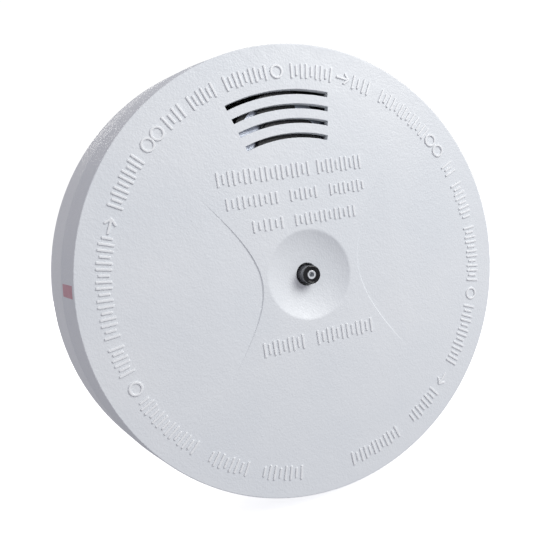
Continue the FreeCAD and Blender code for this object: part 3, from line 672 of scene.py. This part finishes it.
def lobe_cutter(side):
    """The sunk lobe beside the hourglass. Its edge is a hyperbola, eased down over the crease's width."""
    waist, spread = WAIST[side], SPREAD[side]
    limit = spread * math.sqrt((LOBE_END / waist) ** 2 - 1) * LOBE_SPAN
    across = len(CREASE_COLUMNS) + LOBE_COLUMNS
    points = []
    for row in range(LOBE_ROWS + 1):
        y = -limit + 2 * limit * row / LOBE_ROWS
        edge = waist * math.sqrt(1 + (y / spread) ** 2)
        xs = [edge + CREASE_WIDTH * (share - 0.5) for share in CREASE_COLUMNS]
        rest = LOBE_END + LOBE_OVERRUN - xs[-1]
        xs += [xs[-1] + rest * (index + 1) / LOBE_COLUMNS for index in range(LOBE_COLUMNS)]
        for x in xs:
            ease = min(max((x - edge) / CREASE_WIDTH + 0.5, 0.0), 1.0)
            ease = ease * ease * (3 - 2 * ease)
            depth = LOBE_DEPTH * (LOBE_END - x) / (LOBE_END - waist) * ease
            points.append((side * x, y, FACE - depth + LOBE_LIFT))
    top_start = len(points)
    points += [(x, y, FACE + OVERRUN) for x, y, z in points]
    faces = []
    for row in range(LOBE_ROWS):
        for column in range(across - 1):
            a = row * across + column
            b = a + across
            faces.append((a, a + 1, b + 1, b))
            faces.append((a + top_start, b + top_start, b + 1 + top_start, a + 1 + top_start))
    for column in range(across - 1):
        for a in (column, LOBE_ROWS * across + column):
            faces.append((a, a + 1, a + 1 + top_start, a + top_start))
    for row in range(LOBE_ROWS):
        for a in (row * across, row * across + across - 1):
            faces.append((a, a + across, a + across + top_start, a + top_start))
    return new_object("lobe", points, faces)


def marker_cutter():
    """The window in the skirt that the coloured marker sits in."""
    low = JOINT + JOINT_GAP / 2 + MARKER_MARGIN
    piece = box_piece("window", (RIM_RADIUS - MARKER_DEPTH, -MARKER_HALF_WIDTH, low),
                      (BACK_RADIUS + OVERRUN, MARKER_HALF_WIDTH, FACE - MARKER_MARGIN))
    piece.data.transform(Matrix.Rotation(math.radians(MARKER_ANGLE), 4, "Z"))
    return piece


def front_cover(material):
    cover = turned("cover", cover_outline())
    cutters = slot_cutters() + [lobe_cutter(1), lobe_cutter(-1), marker_cutter()]
    for place in SCREW_PLACES:
        cutters.append(rod_piece("boss_room", BOSS_RADIUS + LIP_CLEARANCE, JOINT - LIP_DEPTH - OVERRUN, JOINT,
                                 place.x, place.y))
    combine(cover, cutters, "DIFFERENCE")
    bosses = []
    for place in SCREW_PLACES:
        bosses.append(rod_piece("boss", COVER_BOSS_RADIUS, JOINT, FACE - WALL + COVER_BOSS_ROOT,
                                place.x, place.y, bore=COVER_SCREW_RADIUS))
    cover = gather("cover_shell", [cover] + bosses)
    soften(cover)
    finish_piece(cover, material, "housing", "white_shell", "front_cover")


def housing_outline():
    """Section of the housing: its floor, and its wall with both edges broken."""
    low = PLATE_RIM + PLATE_GAP
    high = JOINT - JOINT_GAP / 2
    return [
        (0, FLOOR_LOW), (outer_radius(FLOOR_LOW) - WALL, FLOOR_LOW), (outer_radius(low) - WALL, low),
        (outer_radius(low) - BROKEN_EDGE, low), (outer_radius(low), low + BROKEN_EDGE),
        (outer_radius(high), high - BROKEN_EDGE), (outer_radius(high) - BROKEN_EDGE, high),
        (outer_radius(high) - WALL, high), (outer_radius(FLOOR_HIGH) - WALL, FLOOR_HIGH), (0, FLOOR_HIGH),
    ]


def housing_cutters():
    """The battery's space, the leads' notch, the screw holes, and the cuts that the plate's hooks pass."""
    cutters = [
        box_piece("bay_space", (BAY_LEFT, BAY_BELOW, FLOOR_LOW - OVERRUN),
                  (BAY_RIGHT, BAY_ABOVE, BAY_ROOF - BAY_WALL)),
        box_piece("lead_notch", (LEAD_X - LEAD_HALF_WIDTH, BAY_ABOVE - OVERRUN / 2, LEAD_LOW),
                  (LEAD_X + LEAD_HALF_WIDTH, BAY_ABOVE + BAY_WALL + OVERRUN / 2, LEAD_HIGH)),
    ]
    head_top = FLOOR_HIGH + HEAD_HOLE_DEPTH
    for place in SCREW_PLACES:
        cutters.append(rod_piece("head_hole", HEAD_HOLE_RADIUS, FLOOR_LOW - OVERRUN, head_top,
                                 place.x, place.y))
        cutters.append(rod_piece("shank_hole", SHANK_HOLE_RADIUS, head_top - OVERRUN, JOINT + OVERRUN,
                                 place.x, place.y))
    for x, y in BOARD_POSTS:
        cutters.append(rod_piece("pilot", POST_PILOT, FLOOR_HIGH + POST_PILOT_LOW, BOARD_LOW + OVERRUN,
                                 x, y, PILOT_STEPS))
    inner = HOOK_INNER - HOOK_CLEARANCE
    outer = HOOK_OUTER + HOOK_CLEARANCE
    for angle in HOOK_ANGLES:
        start = angle - TWIST - HOOK_HALF_ANGLE - HOOK_SPARE
        end = angle + HOOK_HALF_ANGLE + HOOK_SPARE
        cutters.append(lofted("run", [ring_part(inner, outer, start, end, z) for z in RUN_CUT]))
        cutters.append(lofted("mouth", [
            ring_part(inner, outer + HOOK_REACH, start, end - TWIST, z) for z in MOUTH_CUT]))
    return cutters


def base_housing(material):
    shell = turned("shell", housing_outline())
    raised = [box_piece("bay", (BAY_LEFT - BAY_WALL, BAY_BELOW - BAY_WALL, FLOOR_LOW),
                        (BAY_RIGHT + BAY_WALL, BAY_ABOVE + BAY_WALL, BAY_ROOF))]
    for place in SCREW_PLACES:
        raised.append(rod_piece("boss", BOSS_RADIUS, FLOOR_LOW, JOINT, place.x, place.y))
    for x, y in BOARD_POSTS:
        raised.append(rod_piece("post", POST_RADIUS, FLOOR_HIGH - POST_ROOT, BOARD_LOW, x, y))
    combine(shell, raised, "UNION")
    combine(shell, housing_cutters(), "DIFFERENCE")
    catches = []
    for face, way in ((BAY_BELOW, -1), (BAY_ABOVE, 1)):
        for start, end, top in ((-CATCH_REACH, 0.0, CATCH_HIGH), (0.0, BAY_WALL, FLOOR_HIGH)):
            y_low, y_high = sorted((face + way * start, face + way * end))
            catches.append(box_piece("catch", (CATCH_LEFT, y_low, CATCH_LOW), (CATCH_RIGHT, y_high, top)))
    shell = gather("housing_shell", [shell] + catches)
    soften(shell)
    finish_piece(shell, material, "housing", "white_shell", "base_housing")


def ring_part(inner, outer, start, end, height):
    """Outline of a part of a ring at one height, angles in degrees."""
    angles = [start + (end - start) * step / HOOK_STEPS for step in range(HOOK_STEPS + 1)]
    return [polar(outer, a, height) for a in angles] + [polar(inner, a, height) for a in reversed(angles)]


def fixing_slot(side):
    """A cutter for one of the two slots that the ceiling screws pass."""
    sections = []
    for z in (-OVERRUN, PLATE_RIM + OVERRUN):
        section = []
        for end, first in ((1, -90), (-1, 90)):
            for step in range(FIXING_STEPS + 1):
                turn = math.radians(first + 180 * step / FIXING_STEPS)
                section.append((side * FIXING_PLACE + end * FIXING_HALF_RUN + FIXING_RADIUS * math.cos(turn),
                                FIXING_RADIUS * math.sin(turn), z))
        sections.append(section)
    return lofted("fixing_slot", sections)


def mounting_plate(material):
    edge = outer_radius(PLATE_RIM) - PLATE_SET_IN
    inside = edge - PLATE_RIM_WIDTH
    back, front = PLATE_BACK_ROUND, PLATE_FRONT_ROUND
    outline = [(PLATE_BORE, 0.0)]
    for radius in GROOVE_RADII:
        near, far = radius - GROOVE_HALF_WIDTH, radius + GROOVE_HALF_WIDTH
        outline += [(near, 0.0), (near, GROOVE_DEPTH), (far, GROOVE_DEPTH), (far, 0.0)]
    outline += [(edge - back, 0.0), (edge - back * ROUND_SHARE, back * ROUND_SHARE), (edge, back)]
    outline += [(edge, PLATE_RIM - front), (edge - front * ROUND_SHARE, PLATE_RIM - front * ROUND_SHARE)]
    outline += [(edge - front, PLATE_RIM), (inside, PLATE_RIM), (inside, PLATE_WEB), (RIB_OUTER, PLATE_WEB)]
    outline += [(RIB_OUTER, PLATE_RIM), (RIB_INNER, PLATE_RIM), (RIB_INNER, PLATE_WEB)]
    outline.append((PLATE_BORE, PLATE_WEB))
    plate = turned("plate", outline)
    combine(plate, [fixing_slot(side) for side in (-1, 1)], "DIFFERENCE")
    hooks = []
    for angle in HOOK_ANGLES:
        start, end = angle - HOOK_HALF_ANGLE, angle + HOOK_HALF_ANGLE
        hooks.append(lofted("post", [
            ring_part(HOOK_INNER, HOOK_OUTER, start, end, z) for z in (HOOK_ROOT, HOOK_TOP)]))
        tip = HOOK_OUTER + HOOK_REACH
        hooks.append(lofted("foot", [
            ring_part(HOOK_OUTER, tip, start, end, z) for z in (HOOK_FOOT_LOW, HOOK_TOP)]))
    plate = gather("plate_moulding", [plate] + hooks)
    soften(plate)
    finish_piece(plate, material, "plate", "white_plate", "mounting_plate")


def test_button(material):
    collar_top = FACE - WALL - DISH_DEPTH - COLLAR_PLAY
    floor = BUTTON_TOP - BUTTON_RECESS
    shoulder = BUTTON_RADIUS - BUTTON_EDGE
    room_radius, room_top = LENS_ROOM[0], BUTTON_LOW + LENS_ROOM[1]
    outline = [(LENS_RADIUS, room_top), (LENS_RADIUS, floor), (LENS_RADIUS + RECESS_FLAT, floor)]
    outline.append((shoulder - RECESS_RIM, BUTTON_TOP - RECESS_DROP))
    outline += arc((shoulder - RECESS_SET, BUTTON_TOP - RECESS_ROUND), RECESS_ROUND, 135, 90, 2)
    outline += arc((shoulder, BUTTON_TOP - BUTTON_EDGE), BUTTON_EDGE, 90, 0, BUTTON_EDGE_STEPS)
    outline += [(BUTTON_RADIUS, collar_top), (COLLAR_RADIUS, collar_top), (COLLAR_RADIUS, BUTTON_LOW)]
    outline += [(room_radius, BUTTON_LOW), (room_radius, room_top)]
    body = turned("button", outline, BUTTON_STEPS)
    arm = box_piece("arm", (ARM_REACH[0], -ARM_HALF_WIDTH, BUTTON_LOW),
                    (ARM_REACH[1], ARM_HALF_WIDTH, BUTTON_LOW + ARM_THICKNESS))
    combine(body, [arm], "UNION")
    body.name = "button_moulding"
    soften(body)
    finish_piece(body, material, "button", "black_plastic", "test_button")


def indicator_lens(material):
    flange = LENS_LOW + LENS_FLANGE
    outline = [(0, LENS_LOW), (LENS_FLANGE_RADIUS, LENS_LOW)]
    outline += [(LENS_FLANGE_RADIUS, flange), (LENS_RADIUS, flange)]
    outline += arc((LENS_RADIUS - LENS_EDGE, LENS_TOP - LENS_EDGE), LENS_EDGE, 0, 90, LENS_EDGE_STEPS)
    outline += [(radius, LENS_TOP - depth) for radius, depth in LENS_HOLLOW]
    lens = turned("lens_moulding", outline, LENS_STEPS)
    soften(lens, LENS_CREASE)
    finish_piece(lens, material, "button", "clear_lens", "indicator_lens")


# ---------------------------------------------------------------- raised marks in place of lettering
MARK_RISE = 0.29
MARK_SINK = 0.05
MARK_EASE = 0.17                     # rounding along a mark's top edges
MARK_CREASE = 60
STROKE = 0.58
BAR_PITCH = 1.34
BAR_CORNER = 0.34                    # corner radius of a bar, as a share of its narrow side
BAR_CORNER_LEAST = 0.02
BAR_FLARE = 0.03                     # how much a bar spreads at its foot, as a share of its rounding
# Section of a bar: height as a share of its rise, and inset as a share of its rounding.
BAR_SECTION = ((-MARK_SINK / MARK_RISE, -BAR_FLARE), (0.44, 0.0), (0.72, 0.16), (0.91, 0.5), (1.0, 1.0))
SHORT = 0.7                          # height of every third bar, as a share of the others
RING_OUTER, RING_INNER = 1.7, 1.12
RING_STEPS = 40
SHAFT_PLACE, SHAFT_LENGTH = -0.2, 3.2
HEAD_PLACE, HEAD_SPREAD, HEAD_LENGTH = 1.1, 0.62, 2.0
RIM_MARK_RADIUS = 49.3
RIM_MARK_HEIGHT = 3.6
# Groups of bars on the rim: where each starts and ends, in degrees clockwise from the top.
RIM_GROUPS = [
    (-36.7, -30.8), (-28.2, -20.2), (-17.0, -4.2), (3.0, 15.9), (22.7, 28.5), (32.6, 51.9), (63.5, 67.0),
    (70.5, 82.0), (85.0, 102.5), (110.4, 129.9), (140.2, 151.9), (157.9, 175.2), (191.6, 203.9),
    (208.7, 220.7), (225.6, 245.8), (253.8, 261.6), (264.0, 290.0), (297.6, 311.7),
]
RIM_RINGS = [-1.2, 54.3, 58.4, 106.5, 249.4, 316.0, 319.9]
RIM_ARROWS = [19.4, 135.6, 292.7]
# Rows on the face: height over the centre, bar height, and where each group starts and ends.
FACE_ROWS = [
    (25.8, 3.5, ((-20.0, 3.8), (6.0, 18.2))),
    (19.9, 2.9, ((-18.6, -5.4), (-2.2, 5.0), (8.6, 18.2))),
    (13.8, 2.9, ((-12.9, -5.0), (-1.8, 14.8))),
    (-15.9, 3.7, ((-15.0, -4.2), (-0.6, 15.2))),
]


def raised_bar(x, y, width, height, turn=0.0):
    """One upright bar with softly rounded top edges, centred at x, y and turned about Z."""
    sections = []
    for rise, inset in BAR_SECTION:
        section = []
        z = FACE + MARK_RISE * rise
        inset *= MARK_EASE
        corner = max(min(width, height) * BAR_CORNER - inset * 0.6, BAR_CORNER_LEAST)
        half_w, half_h = width / 2 - inset - corner, height / 2 - inset - corner
        for right, up, first in ((1, 1, 0), (-1, 1, 90), (-1, -1, 180), (1, -1, 270)):
            for step in range(4):
                angle = math.radians(first + 30 * step)
                section.append((right * half_w + corner * math.cos(angle),
                                up * half_h + corner * math.sin(angle), z))
        sections.append(section)
    piece = lofted("bar", sections)
    piece.data.transform(Matrix.Translation((x, y, 0)) @ Matrix.Rotation(turn, 4, "Z"))
    return piece


def rim_place(degrees):
    """A place on the rim, clockwise from the top, and how far a mark there is turned."""
    turn = math.radians(degrees)
    return RIM_MARK_RADIUS * math.sin(turn), RIM_MARK_RADIUS * math.cos(turn), -turn


def mark_ring(degrees):
    x, y, turn = rim_place(degrees)
    top = FACE + MARK_RISE
    ease, part = MARK_EASE, MARK_EASE * ROUND_SHARE
    outline = [
        (RING_INNER, FACE - MARK_SINK), (RING_OUTER, FACE - MARK_SINK), (RING_OUTER, top - ease),
        (RING_OUTER - part, top - part), (RING_OUTER - ease, top), (RING_INNER + ease, top),
        (RING_INNER + part, top - part), (RING_INNER, top - ease),
    ]
    piece = turned("ring", outline, RING_STEPS)
    piece.data.transform(Matrix.Translation((x, y, 0)))
    return piece


def mark_arrow(degrees):
    """A plain arrow that points clockwise, the way the housing tightens."""
    x, y, turn = rim_place(degrees)
    parts = [raised_bar(SHAFT_PLACE, 0.0, SHAFT_LENGTH, STROKE)]
    for side in (-1, 1):
        parts.append(raised_bar(HEAD_PLACE, side * HEAD_SPREAD, STROKE, HEAD_LENGTH, side * math.radians(45)))
    for part in parts:
        part.data.transform(Matrix.Translation((x, y, 0)) @ Matrix.Rotation(turn, 4, "Z"))
    return parts


def bar_group(length, height):
    """Bars that fill a length, like the lines of a scale: offset along it, and height."""
    count = max(round((length - STROKE) / BAR_PITCH), 1)
    bars = []
    for index in range(count + 1):
        along = STROKE / 2 + (length - STROKE) * index / count
        bars.append((along, height * SHORT if index % 3 == 1 else height))
    return bars


def raised_marks(material):
    """Plain bars, rings and arrows, moulded proud of the face, where such covers carry their wording."""
    pieces = []
    for start, end in RIM_GROUPS:
        length = math.radians(end - start) * RIM_MARK_RADIUS
        for along, height in bar_group(length, RIM_MARK_HEIGHT):
            x, y, turn = rim_place(start + math.degrees(along / RIM_MARK_RADIUS))
            pieces.append(raised_bar(x, y, STROKE, height, turn))
    for degrees in RIM_RINGS:
        pieces.append(mark_ring(degrees))
    for degrees in RIM_ARROWS:
        pieces += mark_arrow(degrees)
    for y, tall, groups in FACE_ROWS:
        for left, right in groups:
            for along, height in bar_group(right - left, tall):
                pieces.append(raised_bar(left + along, y, STROKE, height))
    marks = gather("raised_marks", pieces)
    soften(marks, MARK_CREASE)
    finish_piece(marks, material, "housing", "white_shell")


# ---------------------------------------------------------------- build
white_cover = moulded_white_abs("white_abs_cover", "#dfe2e5", "#dadee2")
# The housing's white is lighter than the cover's: painted light, so the band behind the joint shows brighter
# than the skirt in front of it.
white_housing_painted_light = moulded_white_abs("white_abs_housing_painted_light", "#ebeef0", "#e5e8ea", specks=False)
# The plate's white is darker than the housing's: painted shade along the thin back edge that shows behind the
# housing.
white_plate = moulded_white_abs(
    "white_abs_plate_painted_shade", "#d8dadc", "#cfd1d3", grain_mm=0.6, grain_depth=0.03, specks=False)
# The marks' white is lighter than the face's: painted highlight on the raised marks, besides their smoother
# polish.
white_marks_painted_highlight = moulded_white_abs(
    "white_abs_polished_marks_painted_highlight", "#e9ebed", "#e6e8ea", (0.30, 0.40), 0.6, 0.01, specks=False)
# The button's sides get the lighter grey: painted sheen of its lit barrel, mixed with scuffs.
black_button = moulded_black_abs(
    "black_abs_button", "#09090b", "#6c6d72", (0.07, 0.13), BUTTON_TOP - BUTTON_FACE_DROP)
black_cap = moulded_black_abs("black_abs_sounder", "#0e0e10", "#1b1b1e", (0.22, 0.36))
lens_clear = clear_polycarbonate("clear_polycarbonate")

front_cover(white_cover)
base_housing(white_housing_painted_light)
mounting_plate(white_plate)
test_button(black_button)
indicator_lens(lens_clear)
raised_marks(white_marks_painted_highlight)

CAD_FINISHES = {
    "skirt_marker": coated("pale_red_moulded_abs", "#cf9aa4", "#c08c98", 0.42, 1.8, 0.010, 1.53),
    "cover_screws": plated_metal("zinc_plated_screws", "#b9bcc0", "#8f9296", 0.30, 0.8),
    "board_screws": plated_metal("zinc_plated_screws_small", "#b9bcc0", "#8f9296", 0.30, 0.6),
    "circuit_board": solder_mask("green_solder_mask"),
    "indicator_led": coated("red_tinted_epoxy", "#a01812", "#86100c", 0.08, 1.5, 0.003, 1.55),
    "switch_body": moulded_black_abs("black_nylon_switch", "#17171a", "#222225", (0.4, 0.55)),
    "switch_shield": plated_metal("nickel_switch_plate", "#c2bfb8", "#98958e", 0.25, 0.5),
    "switch_plunger": moulded_black_abs("black_nylon_plunger", "#1b1b1d", "#28282b", (0.35, 0.5)),
    "sounder_cup": black_cap,
    "sounder_cap": black_cap,
    "sounder_gasket": coated("black_silicone", "#141414", "#1d1d1d", 0.6, 1.2, 0.01, 1.42),
    # Painted reflection: the disc's white is brighter and bluer than nickel, for the light-blue glints it
    # throws through the slots.
    "sounder_disc": plated_metal("nickel_washed_brass_painted_blue_glint", "#eef3fb", "#cdd6e6", 0.30, 1.5),
    "sounder_ceramic": coated("silvered_ceramic", "#cfcec8", "#b7b6af", 0.35, 0.8, 0.004),
    "thermistor_bead": coated("dark_epoxy_dip", "#1a1d2b", "#242a3d", 0.15, 0.9, 0.02, 1.55),
    "control_chip": coated("moulding_epoxy_chip", "#17181a", "#202124", 0.5, 0.4, 0.006),
    "coil_core": coated("sintered_ferrite", "#232224", "#2f2d30", 0.55, 0.5, 0.01),
    "coil_winding": enamelled_windings("enamelled_copper"),
    "electrolytic_capacitors": coated("dark_shrink_sleeve", "#161b2e", "#1d2440", 0.25, 4.0, 0.01),
    "resistors": coated("beige_lacquer", "#b79f72", "#a88f62", 0.3, 1.2, 0.02),
    "ceramic_capacitors": coated("ochre_epoxy_dip", "#b26a24", "#9a5a1c", 0.28, 1.0, 0.03, 1.55),
    "transistors": coated("moulding_epoxy_transistor", "#1a1a1c", "#232326", 0.45, 0.4, 0.006),
    "battery_case": coated("lacquered_steel_jacket", "#34383f", "#2b2e34", 0.24, 9.0, 0.004),
    "battery_terminals": plated_metal("nickel_snaps", "#c8c4bb", "#9c988f", 0.2, 0.6),
    "snap_connector": coated("black_vinyl_connector", "#131314", "#1e1e1f", 0.42, 1.4, 0.01),
    "battery_lead_red": coated("red_pvc_insulation", "#a8120f", "#930d0b", 0.34, 1.6, 0.004),
    "battery_lead_black": coated("black_pvc_insulation", "#121212", "#1a1a1a", 0.34, 1.6, 0.004),
    "battery_pad": coated("grey_foam_pad", "#3a3a3c", "#2a2a2c", 0.8, 0.5, 0.12, 1.45),
    "rear_label": coated("satin_label_paper", "#cfcfcc", "#c5c5c2", 0.4, 2.0, 0.004),
}
# Tinned copper wire and strip: node, roughness, and size of the streaks in millimetres.
TINNED = (
    ("led_leads", 0.22, 0.3),
    ("sounder_contacts", 0.22, 0.4),
    ("thermistor_leads", 0.22, 0.3),
    ("chip_legs", 0.25, 0.3),
    ("resistor_feet", 0.25, 0.3),
    ("transistor_legs", 0.25, 0.3),
)
for node_name, rough, streak in TINNED:
    CAD_FINISHES[node_name] = plated_metal("tinned_" + node_name, "#c9cac8", "#a3a4a2", rough, streak)
for node_name, finish in CAD_FINISHES.items():
    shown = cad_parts[node_name]
    shown.data.materials.clear()
    shown.data.materials.append(finish)


# ---------------------------------------------------------------- floor, light and camera
FLOOR_REACH = 4.0                    # metres
FLOOR_GLOW = 0.62
WORLD_LOW, WORLD_HIGH = 0.57, 0.66   # strength of the studio's light from below and from above
BACKDROP_GLOW = 1.05
# Name, place, aim, size, power and tint of each lamp.
LAMPS = (
    ("key", (0.31, -0.42, 0.30), (0.0, -0.02, 0.0), 0.34, 2.60, "#fcfdfb"),
    ("back", (0.12, 0.60, 0.05), (0.0, 0.0, 0.0), 0.40, 2.0, "#fffdf8"),
)
# Where the camera stands: aside, above and away from the middle of the face, in radii of the front rim.
CAMERA_PLACE = (-1.117, 0.143, 2.385)
CAMERA_YAW, CAMERA_PITCH, CAMERA_ROLL = math.radians(21.21), math.radians(2.68), math.radians(9.4)
CAMERA_LENS, CAMERA_SENSOR = 39.6, 36.0
CAMERA_NEAREST = 0.005


def floor_and_light():
    low = cad_box[0].z
    floor = new_object("floor", [
        (-FLOOR_REACH, -FLOOR_REACH, low), (FLOOR_REACH, -FLOOR_REACH, low),
        (FLOOR_REACH, FLOOR_REACH, low), (-FLOOR_REACH, FLOOR_REACH, low)], [(0, 1, 2, 3)])
    material, tree, place = blank_material("white_studio_floor")
    drift = add(tree, "ShaderNodeTexNoise", {"Vector": place, "Scale": per_mm(300.0)})
    tone = add(tree, "ShaderNodeMix", {
        0: drift.outputs[0], 6: colour("#fafafa"), 7: colour("#f7f7f7")}, data_type="RGBA")
    shader = add(tree, "ShaderNodeBsdfPrincipled", {
        "Base Color": tone.outputs[2], "Roughness": 0.9, "Emission Color": (1, 1, 1, 1),
        "Emission Strength": FLOOR_GLOW})
    add(tree, "ShaderNodeOutputMaterial", {"Surface": shader.outputs[0]})
    floor.data.materials.append(material)
    floor.visible_diffuse = False
    floor.visible_glossy = False

    world = bpy.data.worlds.new("studio")
    bpy.context.scene.world = world
    world.use_nodes = True
    tree = world.node_tree
    tree.nodes.clear()
    ways = add(tree, "ShaderNodeSeparateXYZ", {0: add(tree, "ShaderNodeTexCoord").outputs["Generated"]})
    height = add(tree, "ShaderNodeMapRange", {"Value": ways.outputs["Z"], "From Min": -0.5, "From Max": 0.6})
    tint = add(tree, "ShaderNodeMix", {
        0: height.outputs[0], 6: colour("#e0dfe7"), 7: colour("#ebe9f0")}, data_type="RGBA")
    strength = add(tree, "ShaderNodeMapRange", {
        "Value": height.outputs[0], "To Min": WORLD_LOW, "To Max": WORLD_HIGH})
    felt = add(tree, "ShaderNodeBackground", {"Color": tint.outputs[2], "Strength": strength.outputs[0]})
    seen = add(tree, "ShaderNodeBackground", {"Color": (1, 1, 1, 1), "Strength": BACKDROP_GLOW})
    path = add(tree, "ShaderNodeLightPath")
    mix = add(tree, "ShaderNodeMixShader", {
        0: path.outputs["Is Camera Ray"], 1: felt.outputs[0], 2: seen.outputs[0]})
    add(tree, "ShaderNodeOutputWorld", {"Surface": mix.outputs[0]})

    for name, place, aim, size, power, tint in LAMPS:
        lamp = bpy.data.lights.new(name, "AREA")
        lamp.size = size
        lamp.energy = power
        lamp.color = colour(tint)[:3]
        made = bpy.data.objects.new(name, lamp)
        bpy.context.scene.collection.objects.link(made)
        made.location = place
        made.rotation_euler = (Vector(aim) - Vector(place)).to_track_quat("-Z", "Y").to_euler()


def camera():
    """Stands to the left of the detector's face, close by, and leans a little."""
    cos, sin = math.cos(CAMERA_ROLL), math.sin(CAMERA_ROLL)
    to_frame = Matrix(((cos, sin, 0), (0, 0, -1), (-sin, cos, 0)))
    level = math.cos(CAMERA_PITCH)
    forward = Vector((math.sin(CAMERA_YAW) * level, -math.sin(CAMERA_PITCH), -math.cos(CAMERA_YAW) * level))
    right = Vector((math.cos(CAMERA_YAW), 0, math.sin(CAMERA_YAW)))
    up = right.cross(forward)
    centre = Vector((0, -FACE * MM, 0))
    data = bpy.data.cameras.new("camera")
    data.sensor_width = CAMERA_SENSOR
    data.lens = CAMERA_LENS
    data.clip_start = CAMERA_NEAREST
    made = bpy.data.objects.new("camera", data)
    bpy.context.scene.collection.objects.link(made)
    turn = Matrix((to_frame @ right, to_frame @ up, -(to_frame @ forward))).transposed()
    place = centre + to_frame @ (Vector(CAMERA_PLACE) * RIM_RADIUS * MM)
    made.matrix_world = Matrix.Translation(place) @ turn.to_4x4()
    bpy.context.scene.camera = made


floor_and_light()
camera()
bpy.context.scene.view_settings.view_transform = "Standard"
